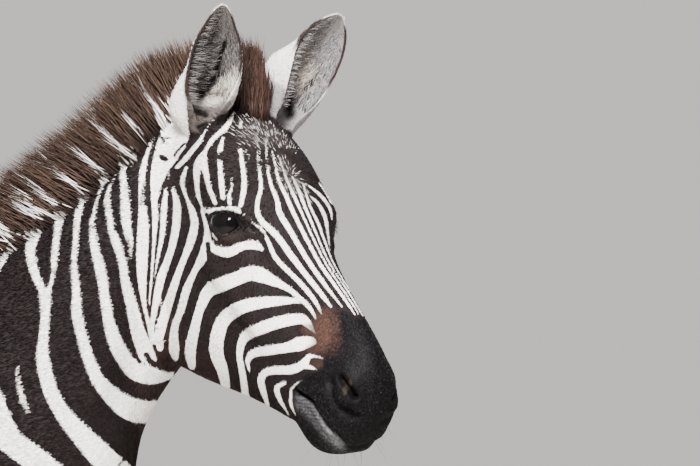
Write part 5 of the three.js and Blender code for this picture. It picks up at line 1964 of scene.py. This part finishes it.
def round_reach(half_x, half_y):
    """1 on the edge of an ellipse in the front of the globe."""
    a = arithmetic(tree, "POWER", arithmetic(tree, "DIVIDE", x, half_x), 2.0)
    b = arithmetic(tree, "POWER", arithmetic(tree, "DIVIDE", y, half_y), 2.0)
    return arithmetic(tree, "SQRT", arithmetic(tree, "ADD", a, b), 0.0)


iris_brown = mixed(tree, ramp(tree, noise(tree, 900.0), 0.3, 0.7), IRIS_DEEP, IRIS_PALE)
brown = mixed(tree, ramp(tree, round_reach(IRIS, IRIS), 0.94, 1.06), iris_brown, IRIS_RING)
tree.links.new(mixed(tree, ramp(tree, round_reach(PUPIL_WIDE, PUPIL_HIGH), 0.9, 1.1),
                     PUPIL_BLACK, brown), shader.inputs["Base Color"])
eyes = {name: new_object(f"globe_{name}", globe(sign))
        for name, sign in (("right", -1), ("left", 1))}
print("eyes:", len(eyes["right"].data.polygons), "faces each")

# %% [markdown]
# ## Hooves
# A hoof is a horn box that widens from the hairy coronet to the ground, longer than wide, dark
# grey and faintly ringed by its growth. Each is a smooth loft of level rings with a flat sole.

# %% Hooves
# height, forward of the coronet, half length, half width
HOOF_ROWS = [(64, 0, 34, 31.5), (52, 2, 37, 33), (24, 8, 42.5, 37), (0, 12, 47, 40)]
HOOF_SIDES = 56
GROWTH_RING, GROWTH_STEP = 0.28, 5.5  # height of the rings and their spacing
HORN_DARK, HORN_PALE = (0.022, 0.018, 0.016, 1), (0.075, 0.062, 0.052, 1)
CORONETS = {"front_right": (292, -104), "front_left": (326, 104), "hind_right": (-578, -104),
            "hind_left": (-632, 104)}

hoof_finish, tree, shader = new_material("horn", Specular_IOR_Level=0.4)
place = node(tree, "ShaderNodeMapping",
             {"Vector": node(tree, "ShaderNodeTexCoord").outputs["Object"],
              "Scale": (160.0, 160.0, 14.0)})
grain = node(tree, "ShaderNodeTexNoise", {"Vector": place.outputs["Vector"], "Scale": 1.0,
                                          "Detail": 4.0}).outputs["Fac"]
tree.links.new(mixed(tree, ramp(tree, grain, 0.3, 0.7), HORN_DARK, HORN_PALE),
               shader.inputs["Base Color"])
tree.links.new(ramp(tree, grain, 0.3, 0.7, 0.42, 0.6), shader.inputs["Roughness"])


def hoof_mesh(centre_x, centre_y):
    turn = np.arange(HOOF_SIDES) * 2 * math.pi / HOOF_SIDES
    rings = []
    for z, forward, long, wide in through(HOOF_ROWS, 14):
        z = max(float(z), 0.0)
        ring = GROWTH_RING * math.sin(2 * math.pi * z / GROWTH_STEP) * (2 < z < 60)
        edge = -1.2 * float(smoothstep(2.5, 0, z))
        grow = ring + edge
        rings.append(np.stack([centre_x + forward + (long + grow) * np.cos(turn),
                               centre_y + (wide + grow) * np.sin(turn),
                               np.full(HOOF_SIDES, z)], 1))
    points = np.vstack(rings + [rings[0].mean(0), rings[-1].mean(0)])
    faces = [face[::-1] for face in ring_faces(len(rings), HOOF_SIDES)]
    top, sole = len(points) - 2, len(points) - 1
    last = (len(rings) - 1) * HOOF_SIDES
    for i in range(HOOF_SIDES):
        j = (i + 1) % HOOF_SIDES
        faces += [(top, i, j), (sole, last + j, last + i)]
    mesh = new_mesh("hoof", SHIFT_AT + points * MM, faces)
    smooth(mesh, hoof_finish, flat_ends=True)
    return mesh


hooves = {name: new_object(f"horn_{name}", hoof_mesh(*at)) for name, at in CORONETS.items()}
print("hooves:", [len(piece.data.polygons) for piece in hooves.values()], "faces")

# %% [markdown]
# ## The skin's last touches
# The numbers that only helped to place hair are taken off, the skin gets its finish, and every
# piece is hung from the root while the nodes of the frame it stands in for are hidden.

for name in ("lid gap", "ear place", "ear inside", "face of skin"):
    skin_mesh.attributes.remove(skin_mesh.attributes[name])
smooth(skin_mesh, coat_finish)
skin = new_object("skin", skin_mesh)
for shape in (sliver, lock, short_lock):
    bpy.data.objects.remove(shape)


def declare(piece, slot, *nodes):
    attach(piece, "root")
    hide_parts(*nodes)


for piece in [skin] + coats:
    declare(piece, "coat", *FLESH, "ear_right", "ear_left")
for piece in manes:
    declare(piece, "mane", "mane")
declare(tail_hair, "mane", "tail_tuft")
declare(ear_hair, "ear", "ear_right", "ear_left")
for piece in feelers:
    declare(piece, "coat", "head")
for name, piece in eyes.items():
    declare(piece, "eye", f"eye_{name}")
for name, piece in hooves.items():
    declare(piece, "hoof", f"hoof_{name}")

# %% [markdown]
# ## Floor and light
# The animal stands on a plain pale floor under a pale sky of light. One large soft lamp from
# the upper right gives the cheek its roundness; a weaker one fills the far side.

# %% Floor and light
FLOOR_HALF = 20
WORLD_COLOUR = (0.93, 0.90, 0.88, 1)
WORLD_STRENGTH = 0.8

floor = new_object("floor", new_mesh(
    "floor", [(-FLOOR_HALF, -FLOOR_HALF, 0), (FLOOR_HALF, -FLOOR_HALF, 0),
              (FLOOR_HALF, FLOOR_HALF, 0), (-FLOOR_HALF, FLOOR_HALF, 0)], [(0, 1, 2, 3)]))
floor_finish, tree, shader = new_material("pale floor", Base_Color=(0.62, 0.59, 0.56, 1),
                                          Roughness=0.9)
floor.data.materials.append(floor_finish)

world = bpy.data.worlds.new("studio")
world.use_nodes = True
sky = world.node_tree.nodes["Background"]
sky.inputs["Color"].default_value = WORLD_COLOUR
sky.inputs["Strength"].default_value = WORLD_STRENGTH
bpy.context.scene.world = world


def lamp(name, at, aim, size, power):
    data = bpy.data.lights.new(name, "AREA")
    data.energy, data.size = power, size
    light = new_object(name, data)
    light.location = at
    light.rotation_euler = (Vector(aim) - Vector(at)).to_track_quat("-Z", "Y").to_euler()


lamp("key", (0.5, -3.0, 4.0), (0.7, 0, 1.3), 1.2, 900)
lamp("fill", (-2.5, 3.5, 3.0), (0, 0, 1.0), 2.5, 200)
tell("total")
